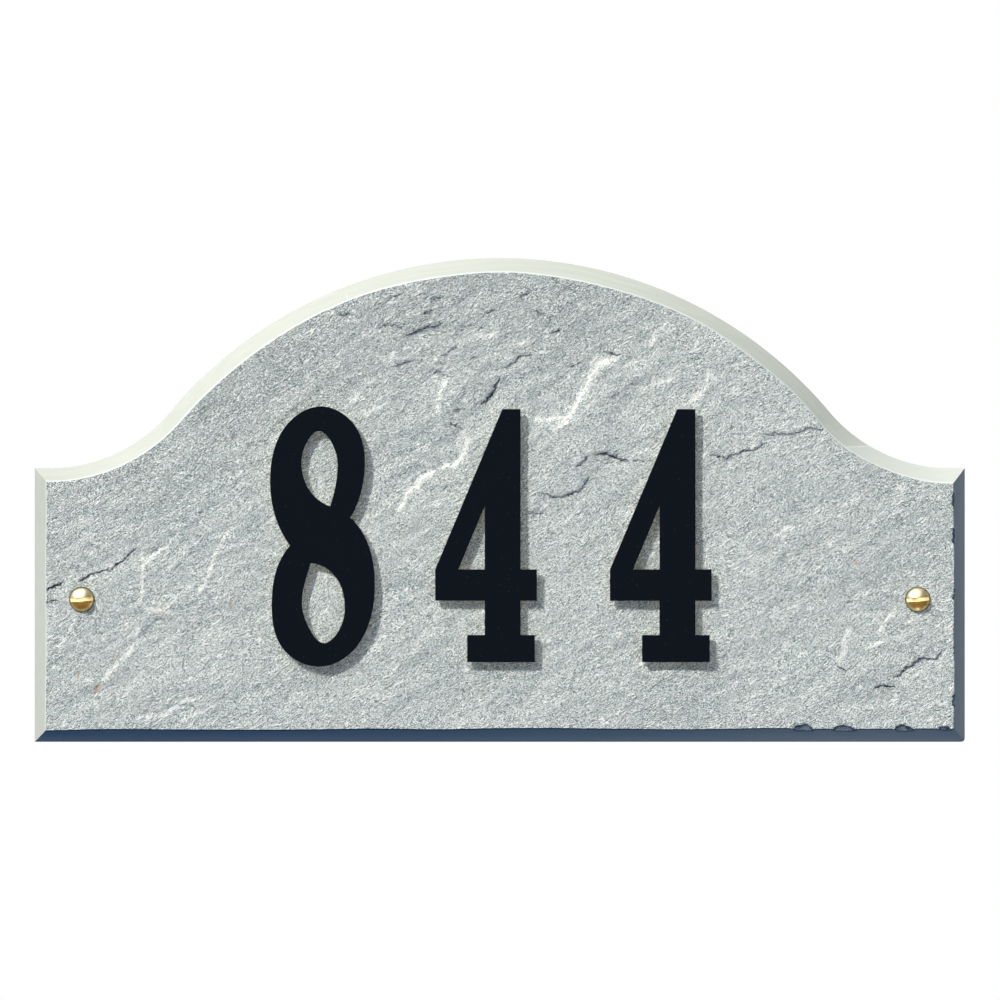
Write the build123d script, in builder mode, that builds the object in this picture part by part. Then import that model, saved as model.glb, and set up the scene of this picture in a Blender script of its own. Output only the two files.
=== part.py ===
from build123d import *
import math
import os

# House number plaque: a riven slate plate with an arched top, three flat numerals on foam tape
# and two slotted wood screws. Millimetres. The face looks along -Y, +Z is up and the origin is
# on the wall plane, midway between the two screws.

# Stone outline
plate_width = 372.0
plate_height = 193.5
plate_thickness = 12.0
shoulder_height = 109.5
shoulder_land = 0.8
crown_radius = 172.0
worn_corner_radius = 1.4

# Ground bevel round the front edge, measured from the level that the riven face never reaches
bevel_width = 5.2
bevel_depth = 5.2

# Riven face: gentle waves that run up to the right, and a thinner left end
grain_angle = 33.0
riven_relief = 0.9
riven_allowance = 0.1
wave_across = 46.0
wave_across_share = 0.3
wave_across_bend = 1.1
wave_along = 118.0
wave_along_share = 0.2
wave_along_bend = 0.8
end_thinning = 0.7
end_thinning_reach = 70.0
riven_grid = 8.0

# Fixing screws, brass, slotted round head
screw_inset = 19.0
screw_height = 57.0
screw_length = 40.0
screw_shank_diameter = 5.5
screw_shank_length = 15.0
screw_core_diameter = 3.8
screw_point_length = 7.0
screw_point_tip = 0.6
screw_head_diameter = 10.2
screw_head_height = 3.8
screw_head_rim = 0.5
screw_slot_width = 1.4
screw_slot_depth = 2.2
screw_slot_angle = 4.5
hole_clearance = 0.25
seat_clearance = 0.05

# Numerals, cut from sheet and stood off the stone
numeral_thickness = 1.5
numeral_stand_off = 1.5
numeral_baseline = 32.0

# The numeral four, from its left end and its baseline
four_height = 101.0
four_width = 40.6
four_stem_width = 14.3
four_stem_right = 34.1
four_top_width = 7.3
four_bar_height = 12.5
four_bar_rise = 24.5
four_diagonal_width = 9.2
four_foot_width = 27.0
four_foot_height = 10.8
four_foot_right = 39.8
four_middle_left = -25.8
four_right_left = 44.0

# The numeral eight, whose bowls overshoot the fours at the bottom
eight_height = 103.9
eight_width = 41.8
eight_overshoot = 1.8
eight_left = -91.7

# Foam tape behind the numerals; on the eight its places are shares of the width and height
tape_width = 5.0
tape_inset = 4.0
tape_gap = 2.0
stem_tape_length = 84.0
bowl_tape_length = 12.0
diagonal_tape_length = 34.0
diagonal_tape_angle = -52.0
eight_top_tape = (0.474, 0.953)
eight_diagonal_tape = (0.492, 0.505)
eight_bottom_tape = (0.505, 0.046)

# Scars where flakes came off the face: which part of the plate they belong to (its left side -1,
# its middle 0 or its right side 1), points of the ledge that was left, measured across from there,
# how far the scar runs out from it, and the ledge's height
flake_scars = [
    (0, [(-22.3, 89.7), (-24.3, 77.3), (-13.5, 64.5), (-14.7, 54.5), (-36.3, 42.9)], (-30.0, 10.0), 0.7),
    (0, [(14.5, 71.7), (27.7, 73.7), (35.3, 88.9), (42.9, 94.5)], (-18.0, 22.0), 0.7),
    (0, [(16.5, 42.5), (25.7, 40.9), (36.1, 49.3)], (14.0, -16.0), 0.4),
    (1, [(-101.9, 57.7), (-90.7, 58.1), (-79.1, 66.1), (-56.3, 68.1)], (10.0, -24.0), 0.5),
    (1, [(-35.5, -35.5), (-28.3, -31.9), (-17.9, -23.1), (-9.9, -20.7)], (9.0, -15.0), 0.6),
    (-1, [(77.7, 27.3), (71.3, 13.7), (66.1, 2.9)], (-16.0, 8.0), 0.4),
]

# Chips knocked out of the bottom arris, in from the right side, and of the right arris, up from the
# bottom edge: place and length
bottom_chips = [(64.7, 7.6), (49.1, 8.4), (25.1, 7.6)]
bottom_chip_bite = 1.0
right_chips = [(95.9, 6.0), (81.1, 8.8), (60.3, 6.4), (17.5, 8.8)]
right_chip_bite = 0.7

# Sizes that follow from those above
half_width = plate_width / 2
bottom = -screw_height
shoulder = bottom + shoulder_height
crown = bottom + plate_height
arch_rise = plate_height - shoulder_height
cove_end = half_width - bevel_width - shoulder_land
arch_radii = (cove_end**2 + arch_rise**2) / (2 * arch_rise)
inflection_x = cove_end * crown_radius / arch_radii
inflection_z = crown - crown_radius + (arch_radii - arch_rise) * crown_radius / arch_radii
screw_spacing = plate_width - 2 * screw_inset
hole_radius = screw_shank_diameter / 2 + hole_clearance
baseline = bottom + numeral_baseline
numeral_back = plate_thickness + numeral_stand_off


def riven_depth(x, z):
    """Depth of the riven face below the level that it never reaches, at a point of the face."""
    turn = math.radians(grain_angle)
    along = 2 * math.pi * (x * math.cos(turn) + z * math.sin(turn))
    across = 2 * math.pi * (z * math.cos(turn) - x * math.sin(turn))
    long_wave = math.sin(along / wave_along + wave_along_bend * math.sin(across / wave_along))
    short_wave = math.sin(across / wave_across + wave_across_bend * math.sin(along / wave_along))
    waves = wave_along_share * (1 + long_wave) + wave_across_share * (1 + short_wave)
    thinning = end_thinning * math.exp(-(((x + half_width) / end_thinning_reach) ** 2))
    return riven_allowance + riven_relief * waves + thinning


def riven_surface():
    """The cleavage surface, over a rectangle a little larger than the plate."""
    columns = math.ceil(plate_width / riven_grid) + 2
    rows = math.ceil(plate_height / riven_grid) + 2
    points = []
    for row in range(rows + 1):
        z = bottom + (row - 1) * riven_grid
        line = []
        for column in range(columns + 1):
            x = (column - columns / 2) * riven_grid
            line.append(Vector(x, riven_depth(x, z) - plate_thickness, z))
        points.append(line)
    return Face.make_surface_from_array_of_points(points)


def flake(side, ledge_points, run, ledge_height):
    """A flake that came off: a wedge, thickest at its ledge, that runs out to the face."""
    ledge = [(side * half_width + across, z) for across, z in ledge_points]
    ledge_x, ledge_z = ledge[len(ledge) // 2]
    end_x = ledge_x + run[0]
    end_z = ledge_z + run[1]
    floor = Vector(ledge_x, riven_depth(ledge_x, ledge_z) + ledge_height - plate_thickness, ledge_z)
    runout = Vector(end_x, riven_depth(end_x, end_z) - plate_thickness, end_z)
    slope = runout - floor
    level = Vector(-run[1], 0, run[0])
    with BuildPart() as waste:
        with BuildSketch(Plane.XZ):
            with BuildLine():
                edge = Spline(*ledge)
                far_end = edge @ 1 + Vector(*run)
                far_start = edge @ 0 + Vector(*run)
                Polyline(edge @ 1, far_end, far_start, edge @ 0)
            make_face()
        extrude(amount=numeral_back)
        split(bisect_by=Plane(floor, z_dir=slope.cross(level)), keep=Keep.TOP)
    return waste.part


def arris_chip(x, z, to_edge, length, bite):
    """Centre and radius of the ball that bites a chip out of the arris, from a point where the bevel
    starts and the direction from there to the edge."""
    radius = length**2 / (8 * bite) + bite / 2
    depth = riven_depth(x, z)
    arris = Vector(x, depth - plate_thickness, z) + to_edge * depth * bevel_width / bevel_depth
    face_normal = Vector(0, -1, 0)
    bevel_normal = (face_normal * bevel_width + to_edge * bevel_depth).normalized()
    return arris + (face_normal + bevel_normal).normalized() * (radius - bite), radius


def arris_chips():
    """Every chip of the bottom and the right arris."""
    balls = []
    for inward, length in bottom_chips:
        x = half_width - inward
        balls.append(arris_chip(x, bottom + bevel_width, Vector(0, 0, -1), length, bottom_chip_bite))
    for up, length in right_chips:
        x = half_width - bevel_width
        balls.append(arris_chip(x, bottom + up, Vector(1, 0, 0), length, right_chip_bite))
    return balls


def screw_seat(x):
    """Highest level of the face under a screw's head, as a depth."""
    reach = screw_head_diameter / 2
    ring = [math.radians(degrees) for degrees in range(0, 360, 30)]
    spread = [reach * step / 4 for step in range(5)]
    depths = [riven_depth(x + r * math.cos(a), r * math.sin(a)) for r in spread for a in ring]
    return min(depths) - seat_clearance


cleavage = riven_surface()
flakes = [flake(*scar) for scar in flake_scars]

with BuildPart() as plate:
    with BuildSketch(Plane.XZ):
        with BuildLine():
            Line((-half_width, bottom), (half_width, bottom))
            Line((half_width, bottom), (half_width, shoulder))
            right_flat = Line((half_width, shoulder), (cove_end, shoulder))
            right_cove = TangentArc(right_flat @ 1, (inflection_x, inflection_z), tangent=right_flat % 1)
            crown_arc = TangentArc(right_cove @ 1, (-inflection_x, inflection_z), tangent=right_cove % 1)
            left_cove = TangentArc(crown_arc @ 1, (-cove_end, shoulder), tangent=crown_arc % 1)
            Line(left_cove @ 1, (-half_width, shoulder))
            Line((-half_width, shoulder), (-half_width, bottom))
        make_face()
    extrude(amount=plate_thickness)
    front = plate.faces().sort_by(Axis.Y)[0]
    chamfer(front.outer_wire().edges(), length=bevel_width, length2=bevel_depth)
    extrude(cleavage, amount=plate_thickness, dir=(0, -1, 0), mode=Mode.SUBTRACT)
    for waste in flakes:
        add(waste, mode=Mode.SUBTRACT)
    for centre, radius in arris_chips():
        with Locations(centre):
            Sphere(radius, mode=Mode.SUBTRACT)
    with BuildSketch(Plane.XZ):
        with Locations((half_width - worn_corner_radius, bottom + worn_corner_radius)):
            Rectangle(2 * worn_corner_radius, 2 * worn_corner_radius, align=(Align.MIN, Align.MAX))
            Circle(worn_corner_radius, mode=Mode.SUBTRACT)
    extrude(amount=plate_thickness, mode=Mode.SUBTRACT)
    with BuildSketch(Plane.XZ):
        with GridLocations(screw_spacing, screw_spacing, 2, 1):
            Circle(hole_radius)
    extrude(amount=plate_thickness, mode=Mode.SUBTRACT)


def numeral_four(left):
    """A slab-footed four whose diagonal meets the crossbar's left end."""
    bar_top = four_bar_rise + four_bar_height
    stem_left = four_stem_right - four_stem_width
    foot_left = four_foot_right - four_foot_width
    lean = (four_stem_right - four_top_width) / (four_height - bar_top)
    counter_top = bar_top + (stem_left - four_diagonal_width) / lean
    with BuildPart() as numeral:
        with BuildSketch(Plane.XZ.offset(numeral_back)):
            with Locations((left, baseline)):
                Polygon(
                    (0, four_bar_rise),
                    (stem_left, four_bar_rise),
                    (stem_left, four_foot_height),
                    (foot_left, four_foot_height),
                    (foot_left, 0),
                    (four_foot_right, 0),
                    (four_foot_right, four_foot_height),
                    (four_stem_right, four_foot_height),
                    (four_stem_right, four_bar_rise),
                    (four_width, four_bar_rise),
                    (four_width, bar_top),
                    (four_stem_right, bar_top),
                    (four_stem_right, four_height),
                    (four_stem_right - four_top_width, four_height),
                    (0, bar_top),
                    align=None,
                )
                Polygon(
                    (four_diagonal_width, bar_top),
                    (stem_left, bar_top),
                    (stem_left, counter_top),
                    align=None,
                    mode=Mode.SUBTRACT,
                )
        extrude(amount=numeral_thickness)
    return numeral.part


def numeral_eight(left):
    """An eight with a heavy stroke from upper left to lower right, on shares of its width and height."""

    low = baseline - eight_overshoot

    def at(*shares):
        return [(left + across * eight_width, low + up * eight_height) for across, up in shares]

    right_waist, left_waist = at((0.765, 0.573), (0.19, 0.465))
    upper_bowl = at((0.904, 0.763), (0.784, 0.94), (0.483, 1), (0.183, 0.94), (0, 0.717), (0.061, 0.563))
    left_bowl = at((0.095, 0.407), (0.016, 0.255), (0.135, 0.063), (0.483, 0))
    right_bowl = at((0.796, 0.063), (0.954, 0.178), (1, 0.324), (0.901, 0.502))
    upper_point, lower_point = at((0.574, 0.616), (0.387, 0.398))
    upper_counter = at(
        (0.644, 0.756), (0.604, 0.848), (0.464, 0.906), (0.334, 0.848), (0.299, 0.779), (0.363, 0.686)
    )
    left_counter = at((0.344, 0.34), (0.304, 0.255), (0.363, 0.155), (0.521, 0.09))
    right_counter = at((0.646, 0.132), (0.713, 0.232), (0.634, 0.34), (0.5, 0.386))
    with BuildPart() as numeral:
        with BuildSketch(Plane.XZ.offset(numeral_back)):
            with BuildLine():
                Spline(right_waist, *upper_bowl, left_waist)
                Spline(left_waist, *left_bowl, *right_bowl, right_waist)
            make_face()
            with BuildLine():
                Spline(upper_point, *upper_counter, upper_point)
            make_face(mode=Mode.SUBTRACT)
            with BuildLine():
                Spline(lower_point, *left_counter, *right_counter, lower_point)
            make_face(mode=Mode.SUBTRACT)
        extrude(amount=numeral_thickness)
    return numeral.part


def foam_tape(strips):
    """Strips of foam tape, pressed between a numeral's back and the uneven stone."""
    with BuildPart() as tape:
        with BuildSketch(Plane.XZ.offset(numeral_back)):
            for x, z, length, angle in strips:
                with Locations((x, z)):
                    Rectangle(length, tape_width, rotation=angle)
        extrude(amount=-numeral_back / 2)
        add(plate.part, mode=Mode.SUBTRACT)
    return tape.part


def tape_of_four(left):
    """One strip up the stem and one along the left of the crossbar."""
    stem = left + four_stem_right - four_stem_width / 2
    bar_start = left + tape_inset
    bar_end = stem - tape_width / 2 - tape_gap
    bar_middle = baseline + four_bar_rise + four_bar_height / 2
    stem_middle = baseline + tape_inset + stem_tape_length / 2
    return foam_tape(
        [
            (stem, stem_middle, stem_tape_length, 90),
            ((bar_start + bar_end) / 2, bar_middle, bar_end - bar_start, 0),
        ]
    )


def tape_of_eight(left):
    """One strip down the heavy stroke and one each at the top and the bottom."""
    low = baseline - eight_overshoot
    strips = []
    for place, length, angle in (
        (eight_top_tape, bowl_tape_length, 0),
        (eight_diagonal_tape, diagonal_tape_length, diagonal_tape_angle),
        (eight_bottom_tape, bowl_tape_length, 0),
    ):
        strips.append((left + place[0] * eight_width, low + place[1] * eight_height, length, angle))
    return foam_tape(strips)


def wood_screw(x):
    """A slotted round-head wood screw driven along +Y at this place across the plate."""
    seat = screw_seat(x) - plate_thickness
    head_radius = screw_head_diameter / 2
    shank_radius = screw_shank_diameter / 2
    core_radius = screw_core_diameter / 2
    tip_radius = screw_point_tip / 2
    crest = seat - screw_head_height
    dome = screw_head_height - screw_head_rim
    dome_radius = (head_radius**2 + dome**2) / (2 * dome)
    with BuildPart() as screw:
        with BuildSketch(Plane(origin=(x, 0, 0))):
            with BuildLine():
                rim = Line((head_radius, seat), (head_radius, seat - screw_head_rim))
                crown_of_head = RadiusArc(rim @ 1, (0, crest), dome_radius)
                Polyline(
                    crown_of_head @ 1,
                    (0, seat + screw_length),
                    (tip_radius, seat + screw_length),
                    (core_radius, seat + screw_length - screw_point_length),
                    (core_radius, seat + screw_shank_length),
                    (shank_radius, seat + screw_shank_length),
                    (shank_radius, seat),
                    rim @ 0,
                )
            make_face()
        revolve(axis=Axis((x, 0, 0), (0, 1, 0)))
        with Locations(Location((x, crest, 0), (0, -screw_slot_angle, 0))):
            Box(
                2 * screw_head_diameter,
                2 * screw_slot_depth,
                screw_slot_width,
                mode=Mode.SUBTRACT,
            )
    return screw.part


with BuildPart() as screws:
    for side in (-1, 1):
        add(wood_screw(side * screw_spacing / 2))

pieces = {
    "slate_plate": plate.part,
    "numeral_8": numeral_eight(eight_left),
    "numeral_4_middle": numeral_four(four_middle_left),
    "numeral_4_right": numeral_four(four_right_left),
    "foam_tape_8": tape_of_eight(eight_left),
    "foam_tape_4_middle": tape_of_four(four_middle_left),
    "foam_tape_4_right": tape_of_four(four_right_left),
    "mounting_screws": screws.part,
}

os.makedirs("parts", exist_ok=True)
for name, piece in pieces.items():
    piece.label = name
    export_step(piece, f"parts/{name}.step")
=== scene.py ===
"""Looks of the house number plaque: riven slate, flat black numerals on foam tape and brass screws."""

import logging
import math
from dataclasses import dataclass, field
from enum import Enum

import bmesh
import bpy
import numpy as np
from bmesh.types import BMEdge, BMesh, BMFace, BMVert
from bpy.types import Material, Node, NodeSocket, NodeTree, Object, Scene
from mathutils import Matrix, Vector, noise


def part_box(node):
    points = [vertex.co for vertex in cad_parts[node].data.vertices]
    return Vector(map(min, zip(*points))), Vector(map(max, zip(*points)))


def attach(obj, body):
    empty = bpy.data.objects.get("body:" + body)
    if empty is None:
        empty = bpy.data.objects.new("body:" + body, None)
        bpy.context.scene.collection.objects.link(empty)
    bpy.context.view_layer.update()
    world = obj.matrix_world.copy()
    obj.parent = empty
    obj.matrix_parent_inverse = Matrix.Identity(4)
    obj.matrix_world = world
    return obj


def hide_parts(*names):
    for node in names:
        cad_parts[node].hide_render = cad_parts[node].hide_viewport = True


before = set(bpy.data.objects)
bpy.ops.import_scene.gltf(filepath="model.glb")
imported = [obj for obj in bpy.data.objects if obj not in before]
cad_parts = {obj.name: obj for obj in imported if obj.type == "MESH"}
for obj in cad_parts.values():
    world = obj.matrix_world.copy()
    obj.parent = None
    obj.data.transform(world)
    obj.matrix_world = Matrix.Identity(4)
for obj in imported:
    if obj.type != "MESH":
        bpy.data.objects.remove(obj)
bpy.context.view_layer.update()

MM = 0.001
BODY = "root"
log = logging.getLogger("plaque")

# Vertices this close are one, heights this close are one level, and faces that bend less are one flat
MERGE = 0.001 * MM
LEVEL = 0.01 * MM
FLAT_ANGLE = math.radians(0.4)

Points = tuple[tuple[float, float], ...]
Inputs = dict[str | int, object]
Patterns = dict[str, NodeSocket]


# Helpers


def linear(hex_colour: str) -> tuple[float, float, float, float]:
    """Turn an sRGB hex value into a linear colour.

    Args:
        hex_colour: Six hex digits, such as "B9C2C0".

    Returns:
        Red, green, blue and an alpha of 1.
    """
    channels = []
    for start in (0, 2, 4):
        share = int(hex_colour[start:start + 2], 16) / 255
        channels.append(share / 12.92 if share <= 0.04045 else ((share + 0.055) / 1.055) ** 2.4)
    return (*channels, 1.0)


def add_node(tree: NodeTree, kind: str, inputs: Inputs | None = None, **settings: object) -> Node:
    """Add a node with its settings and with what its sockets take.

    Args:
        tree: The node tree that gets the node.
        kind: Blender's name of the node's type, after "ShaderNode".
        inputs: A value or an output socket for each input, by the input's name or number.
        settings: The node's own properties.

    Returns:
        The new node.
    """
    node = tree.nodes.new("ShaderNode" + kind)
    for name, value in settings.items():
        setattr(node, name, value)
    for key, value in (inputs or {}).items():
        if isinstance(value, NodeSocket):
            tree.links.new(value, node.inputs[key])
        else:
            node.inputs[key].default_value = value
    return node


def new_material(name: str) -> tuple[Material, NodeTree, Node]:
    """Start a material.

    Args:
        name: The material's name.

    Returns:
        The material, its node tree and its shader.
    """
    material = bpy.data.materials.new(name)
    material.use_nodes = True
    tree = material.node_tree
    return material, tree, tree.nodes["Principled BSDF"]


def mesh_object(name: str, shape: BMesh, *materials: Material) -> Object:
    """Make an object of a finished bmesh, at the origin, and link it to the scene.

    Args:
        name: The object's name.
        shape: The bmesh, which is freed.
        materials: The materials of its slots, in order.

    Returns:
        The new object.
    """
    mesh = bpy.data.meshes.new(name)
    shape.to_mesh(mesh)
    shape.free()
    for material in materials:
        mesh.materials.append(material)
    piece = bpy.data.objects.new(name, mesh)
    bpy.context.scene.collection.objects.link(piece)
    return piece


def merged_node(node: str) -> BMesh:
    """Copy a CAD node's mesh and merge its loose triangles.

    Args:
        node: The node's name.

    Returns:
        The merged copy.
    """
    shape = bmesh.new()
    shape.from_mesh(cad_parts[node].data)
    bmesh.ops.remove_doubles(shape, verts=shape.verts, dist=MERGE)
    return shape


def ease_edges(shape: BMesh, edges: list[BMEdge], offset: float) -> None:
    """Round edges off.

    Args:
        shape: The bmesh that has the edges.
        edges: The edges to round.
        offset: How far from an edge its rounding starts, in the bmesh's units.
    """
    bmesh.ops.bevel(
        shape,
        geom=edges,
        offset=offset,
        segments=2,
        profile=0.5,
        affect="EDGES",
        material=-1,
        clamp_overlap=True,
    )


def smooth_step(low: float, high: float, value: np.ndarray) -> np.ndarray:
    """Rise smoothly from 0 at low to 1 at high.

    Args:
        low: The value below which the step is 0.
        high: The value above which it is 1.
        value: The values to step.

    Returns:
        The steps, from 0 to 1.
    """
    share = np.clip((value - low) / (high - low), 0, 1)
    return share * share * (3 - 2 * share)


class NoiseLayer(Enum):
    """Slices of the smooth noise, one for each thing that follows it."""

    BEDS = 1.3
    BENDS = 2.2
    WAVER_ACROSS = 3.1
    WAVER_UP = 5.9
    RIPPLES = 7.7
    BRUISES = 8.3


def noise_field(across: np.ndarray, up: np.ndarray, layer: NoiseLayer) -> np.ndarray:
    """Sample one layer of smooth noise.

    Args:
        across: Places along the first axis, in features.
        up: Places along the second axis, in features.
        layer: The slice of the noise to take.

    Returns:
        Values around 0, mostly within 0.5 of it.
    """
    samples = (noise.noise(Vector((a, b, layer.value))) for a, b in zip(across, up))
    return np.fromiter(samples, float, len(across))


# Finishes

# Numbers of a colour Mix node's sockets
MIX_A = 6
MIX_B = 7
MIX_RESULT = 2


@dataclass(frozen=True)
class RivenSlate:
    """Slate split along its cleavage, with sizes in millimetres, along and across the grain."""

    stone: str = "C9D3CC"
    pale_bed: str = "FFFFFC"
    blue_bed: str = "83949A"
    deep_grit: str = "53625F"
    # Painted shadow, drawn in and round cracks, in ticks and under the lips of chips
    painted_shadow: str = "26374A"
    # Painted shade in the hollows of the arris chips
    painted_chip_shade: str = "4A6072"
    # Painted highlight on the ridges and on the broken edges of the beds
    painted_highlight: str = "FFFFF8"
    iron_stain: str = "BC8F6A"
    warm_mica: str = "E2D9C8"
    roughness: float = 0.78
    specular: float = 0.25
    grain_angle: float = 35.0
    bend_size: float = 26.0
    bend_reach: float = 9.0
    # The stone's own grit is too fine to show, so specks and strokes are drawn this coarse
    speckle_size: float = 0.3
    speckle_share: float = 0.42
    stroke_size: tuple[float, float] = (0.8, 0.2)
    grit_height: float = 0.5
    tick_size: tuple[float, float] = (3.2, 0.8)
    tick_depth: float = 0.22
    flake_size: tuple[float, float] = (3.6, 0.75)
    flake_height: float = 0.28
    bed_size: tuple[float, float] = (5.0, 1.8)
    bed_height: float = 0.3
    streak_size: tuple[float, float] = (24.0, 5.0)
    cloud_size: float = 30.0
    crown_lean: float = -0.35
    crown_from: float = 70.0
    crown_to: float = 115.0
    crack_width: float = 0.45
    crack_shade: float = 2.0
    chip_wall: float = 0.1
    chip_lip: float = 0.35
    ridge_width: float = 2.8
    ridge_core: float = 0.95
    jag_size: float = 1.1
    crack_jag: float = 3.4
    ridge_jag: float = 2.0
    break_size: float = 2.4
    line_core: float = 0.4
    thinnest_line: float = 0.001

    def material(self) -> Material:
        """Make the material, with painted shade in cracks and chips, painted highlight on ridges, and
        stains from the mesh's attributes.

        Returns:
            The material.
        """
        # A split face is dull, and short pale strokes of painted highlight stand for the broken edges of
        # its beds catching the light
        material, tree, shader = new_material("riven_slate")
        patterns = self.grain_patterns(tree)
        self.add_masks(tree, patterns)
        colour = self.marked_colour(tree, patterns, self.stone_colour(tree, patterns))
        tree.links.new(colour, shader.inputs["Base Color"])
        tree.links.new(self.bumps(tree, patterns), shader.inputs["Normal"])
        shader.inputs["Roughness"].default_value = self.roughness
        shader.inputs["Specular IOR Level"].default_value = self.specular
        return material

    def grain_patterns(self, tree: NodeTree) -> Patterns:
        """Add the patterns of the stone's grain, most of them bent and drawn out along it.

        Args:
            tree: The material's node tree.

        Returns:
            The patterns, by name.
        """
        place = add_node(tree, "TexCoord").outputs["Object"]
        bends = add_node(
            tree, "TexNoise", {"Vector": place, "Scale": 1 / (self.bend_size * MM)}
        ).outputs["Color"]
        reach = self.bend_reach * MM
        bent = add_node(
            tree, "VectorMath", {0: bends, 1: (reach, reach, reach), 2: place}, operation="MULTIPLY_ADD"
        ).outputs[0]
        turn = (0.0, -math.radians(self.grain_angle), 0.0)
        patterns = {}
        for name, (length, width), detail, roughness in (
            ("grain", self.stroke_size, 1.0, 0.5),
            ("bedding", self.bed_size, 3.0, 0.55),
            ("pits", self.tick_size, 2.0, 0.6),
            ("flakes", self.flake_size, 2.0, 0.6),
            ("streaks", self.streak_size, 2.0, 0.55),
        ):
            along_grain = add_node(
                tree,
                "Mapping",
                {"Vector": bent, "Rotation": turn, "Scale": (length * MM, length * MM, width * MM)},
                vector_type="TEXTURE",
            ).outputs[0]
            patterns[name] = add_node(
                tree,
                "TexNoise",
                {"Vector": along_grain, "Scale": 1.0, "Detail": detail, "Roughness": roughness},
            ).outputs["Fac"]
        for name, size, detail, roughness in (
            ("clouds", self.cloud_size, 3.0, 0.6),
            ("speckle", self.speckle_size, 0.0, 0.5),
            ("gaps", self.break_size, 2.0, 0.5),
            ("jags", self.jag_size, 2.0, 0.5),
        ):
            patterns[name] = add_node(
                tree,
                "TexNoise",
                {"Vector": place, "Scale": 1 / (size * MM), "Detail": detail, "Roughness": roughness},
            ).outputs["Fac"]
        patterns["grit"] = add_node(
            tree,
            "Mix",
            {"Factor": self.speckle_share, "A": patterns["grain"], "B": patterns["speckle"]},
            data_type="FLOAT",
        ).outputs[0]
        axes = add_node(tree, "SeparateXYZ", {0: place}).outputs
        patterns["rise"] = add_node(
            tree, "Math", {0: axes["X"], 1: self.crown_lean, 2: axes["Z"]}, operation="MULTIPLY_ADD"
        ).outputs[0]
        return patterns

    def add_masks(self, tree: NodeTree, patterns: Patterns) -> None:
        """Work out how far each mark shows, from the grain and from the mesh's attributes.

        Args:
            tree: The material's node tree.
            patterns: The grain's patterns, which get the masks.
        """
        for name in ("rust", "chip", "chip_at"):
            patterns[name] = add_node(tree, "Attribute", attribute_name=name).outputs["Fac"]
        crack_half = self.crack_jag / 2
        ridge_half = self.ridge_jag / 2
        for name, source, low, high, least, most in (
            ("crown", "rise", self.crown_from * MM, self.crown_to * MM, 0.0, 1.0),
            ("ticks", "pits", 0.6, 0.72, 0.0, 1.0),
            ("tick_shade_share", "ticks", 0.0, 1.0, 0.0, 0.38),
            ("flake_edges", "flakes", 0.56, 0.64, 0.0, 1.0),
            ("flake_highlight_share", "flake_edges", 0.0, 1.0, 0.0, 0.8),
            ("crack_shift", "jags", 0.0, 1.0, -crack_half, crack_half),
            ("ridge_shift", "jags", 0.0, 1.0, -ridge_half, ridge_half),
            ("unbroken", "gaps", 0.35, 0.65, 0.65, 1.35),
            ("fullness", "gaps", 0.35, 0.65, 0.25, 1.35),
            ("grainy", "grit", 0.42, 0.56, 0.6, 1.7),
            ("between_grit", "grit", 0.43, 0.52, 0.45, 1.1),
            ("past_wall", "chip_at", -self.chip_wall, self.chip_wall, 0.0, 0.9),
        ):
            patterns[name] = add_node(
                tree,
                "MapRange",
                {
                    "Value": patterns[source],
                    "From Min": low,
                    "From Max": high,
                    "To Min": least,
                    "To Max": most,
                },
            ).outputs[0]
        for name, first, second in (
            ("feathered", "fullness", "grainy"),
            ("stained", "rust", "fullness"),
            ("chip_shade_share", "chip", "past_wall"),
        ):
            patterns[name] = add_node(
                tree, "Math", {0: patterns[first], 1: patterns[second]}, operation="MULTIPLY"
            ).outputs[0]

    def marked_colour(self, tree: NodeTree, patterns: Patterns, colour: NodeSocket) -> NodeSocket:
        """Lay stains and the painted highlight and shade of ticks, flakes, ridges, chips and cracks over
        the stone's colour.

        Args:
            tree: The material's node tree.
            patterns: The grain's patterns and the masks.
            colour: The stone's own colour.

        Returns:
            The finished colour.
        """
        on_cracks = (patterns["crack_shift"], patterns["unbroken"])
        on_ridges = (patterns["ridge_shift"], patterns["feathered"])
        # Painted highlight along the ridges: a broad band and a narrow core
        broad, core = (
            add_node(
                tree,
                "Math",
                {0: self.line_share(tree, on_ridges, "ridge", width, most), 1: patterns["between_grit"]},
                operation="MULTIPLY",
            ).outputs[0]
            for width, most in ((self.ridge_width, 0.5), (self.ridge_core, 0.66))
        )
        for share, tint in (
            (patterns["stained"], self.iron_stain),
            # Painted highlight on the flake strokes
            (patterns["flake_highlight_share"], self.painted_highlight),
            # Painted shade in the sunk ticks
            (patterns["tick_shade_share"], self.painted_shadow),
            (broad, self.painted_highlight),
            (core, self.painted_highlight),
            # Painted shade in each chip's hollow and painted shadow under its lip
            (patterns["chip_shade_share"], self.painted_chip_shade),
            (self.line_share(tree, (0.0, 1.0), "chip", self.chip_lip, 0.9), self.painted_shadow),
            # Painted shadow round each crack and along it
            (self.line_share(tree, on_cracks, "crack", self.crack_shade, 0.1), self.painted_shadow),
            (self.line_share(tree, on_cracks, "crack", self.crack_width, 0.9), self.painted_shadow),
        ):
            colour = add_node(
                tree, "Mix", {0: share, MIX_A: colour, MIX_B: linear(tint)}, data_type="RGBA"
            ).outputs[MIX_RESULT]
        return colour

    def bumps(self, tree: NodeTree, patterns: Patterns) -> NodeSocket:
        """Raise beds, flakes and grit and sink ticks, each upon the one before.

        Args:
            tree: The material's node tree.
            patterns: The grain's patterns and the masks.

        Returns:
            The finished normal.
        """
        normal = {}
        for name, height, sunk in (
            ("bedding", self.bed_height, False),
            ("ticks", self.tick_depth, True),
            ("flake_edges", self.flake_height, False),
            ("grit", self.grit_height, False),
        ):
            bump = {"Height": patterns[name], "Distance": height * MM, "Strength": 1.0, **normal}
            normal["Normal"] = add_node(tree, "Bump", bump, invert=sunk).outputs[0]
        return normal["Normal"]

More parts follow.
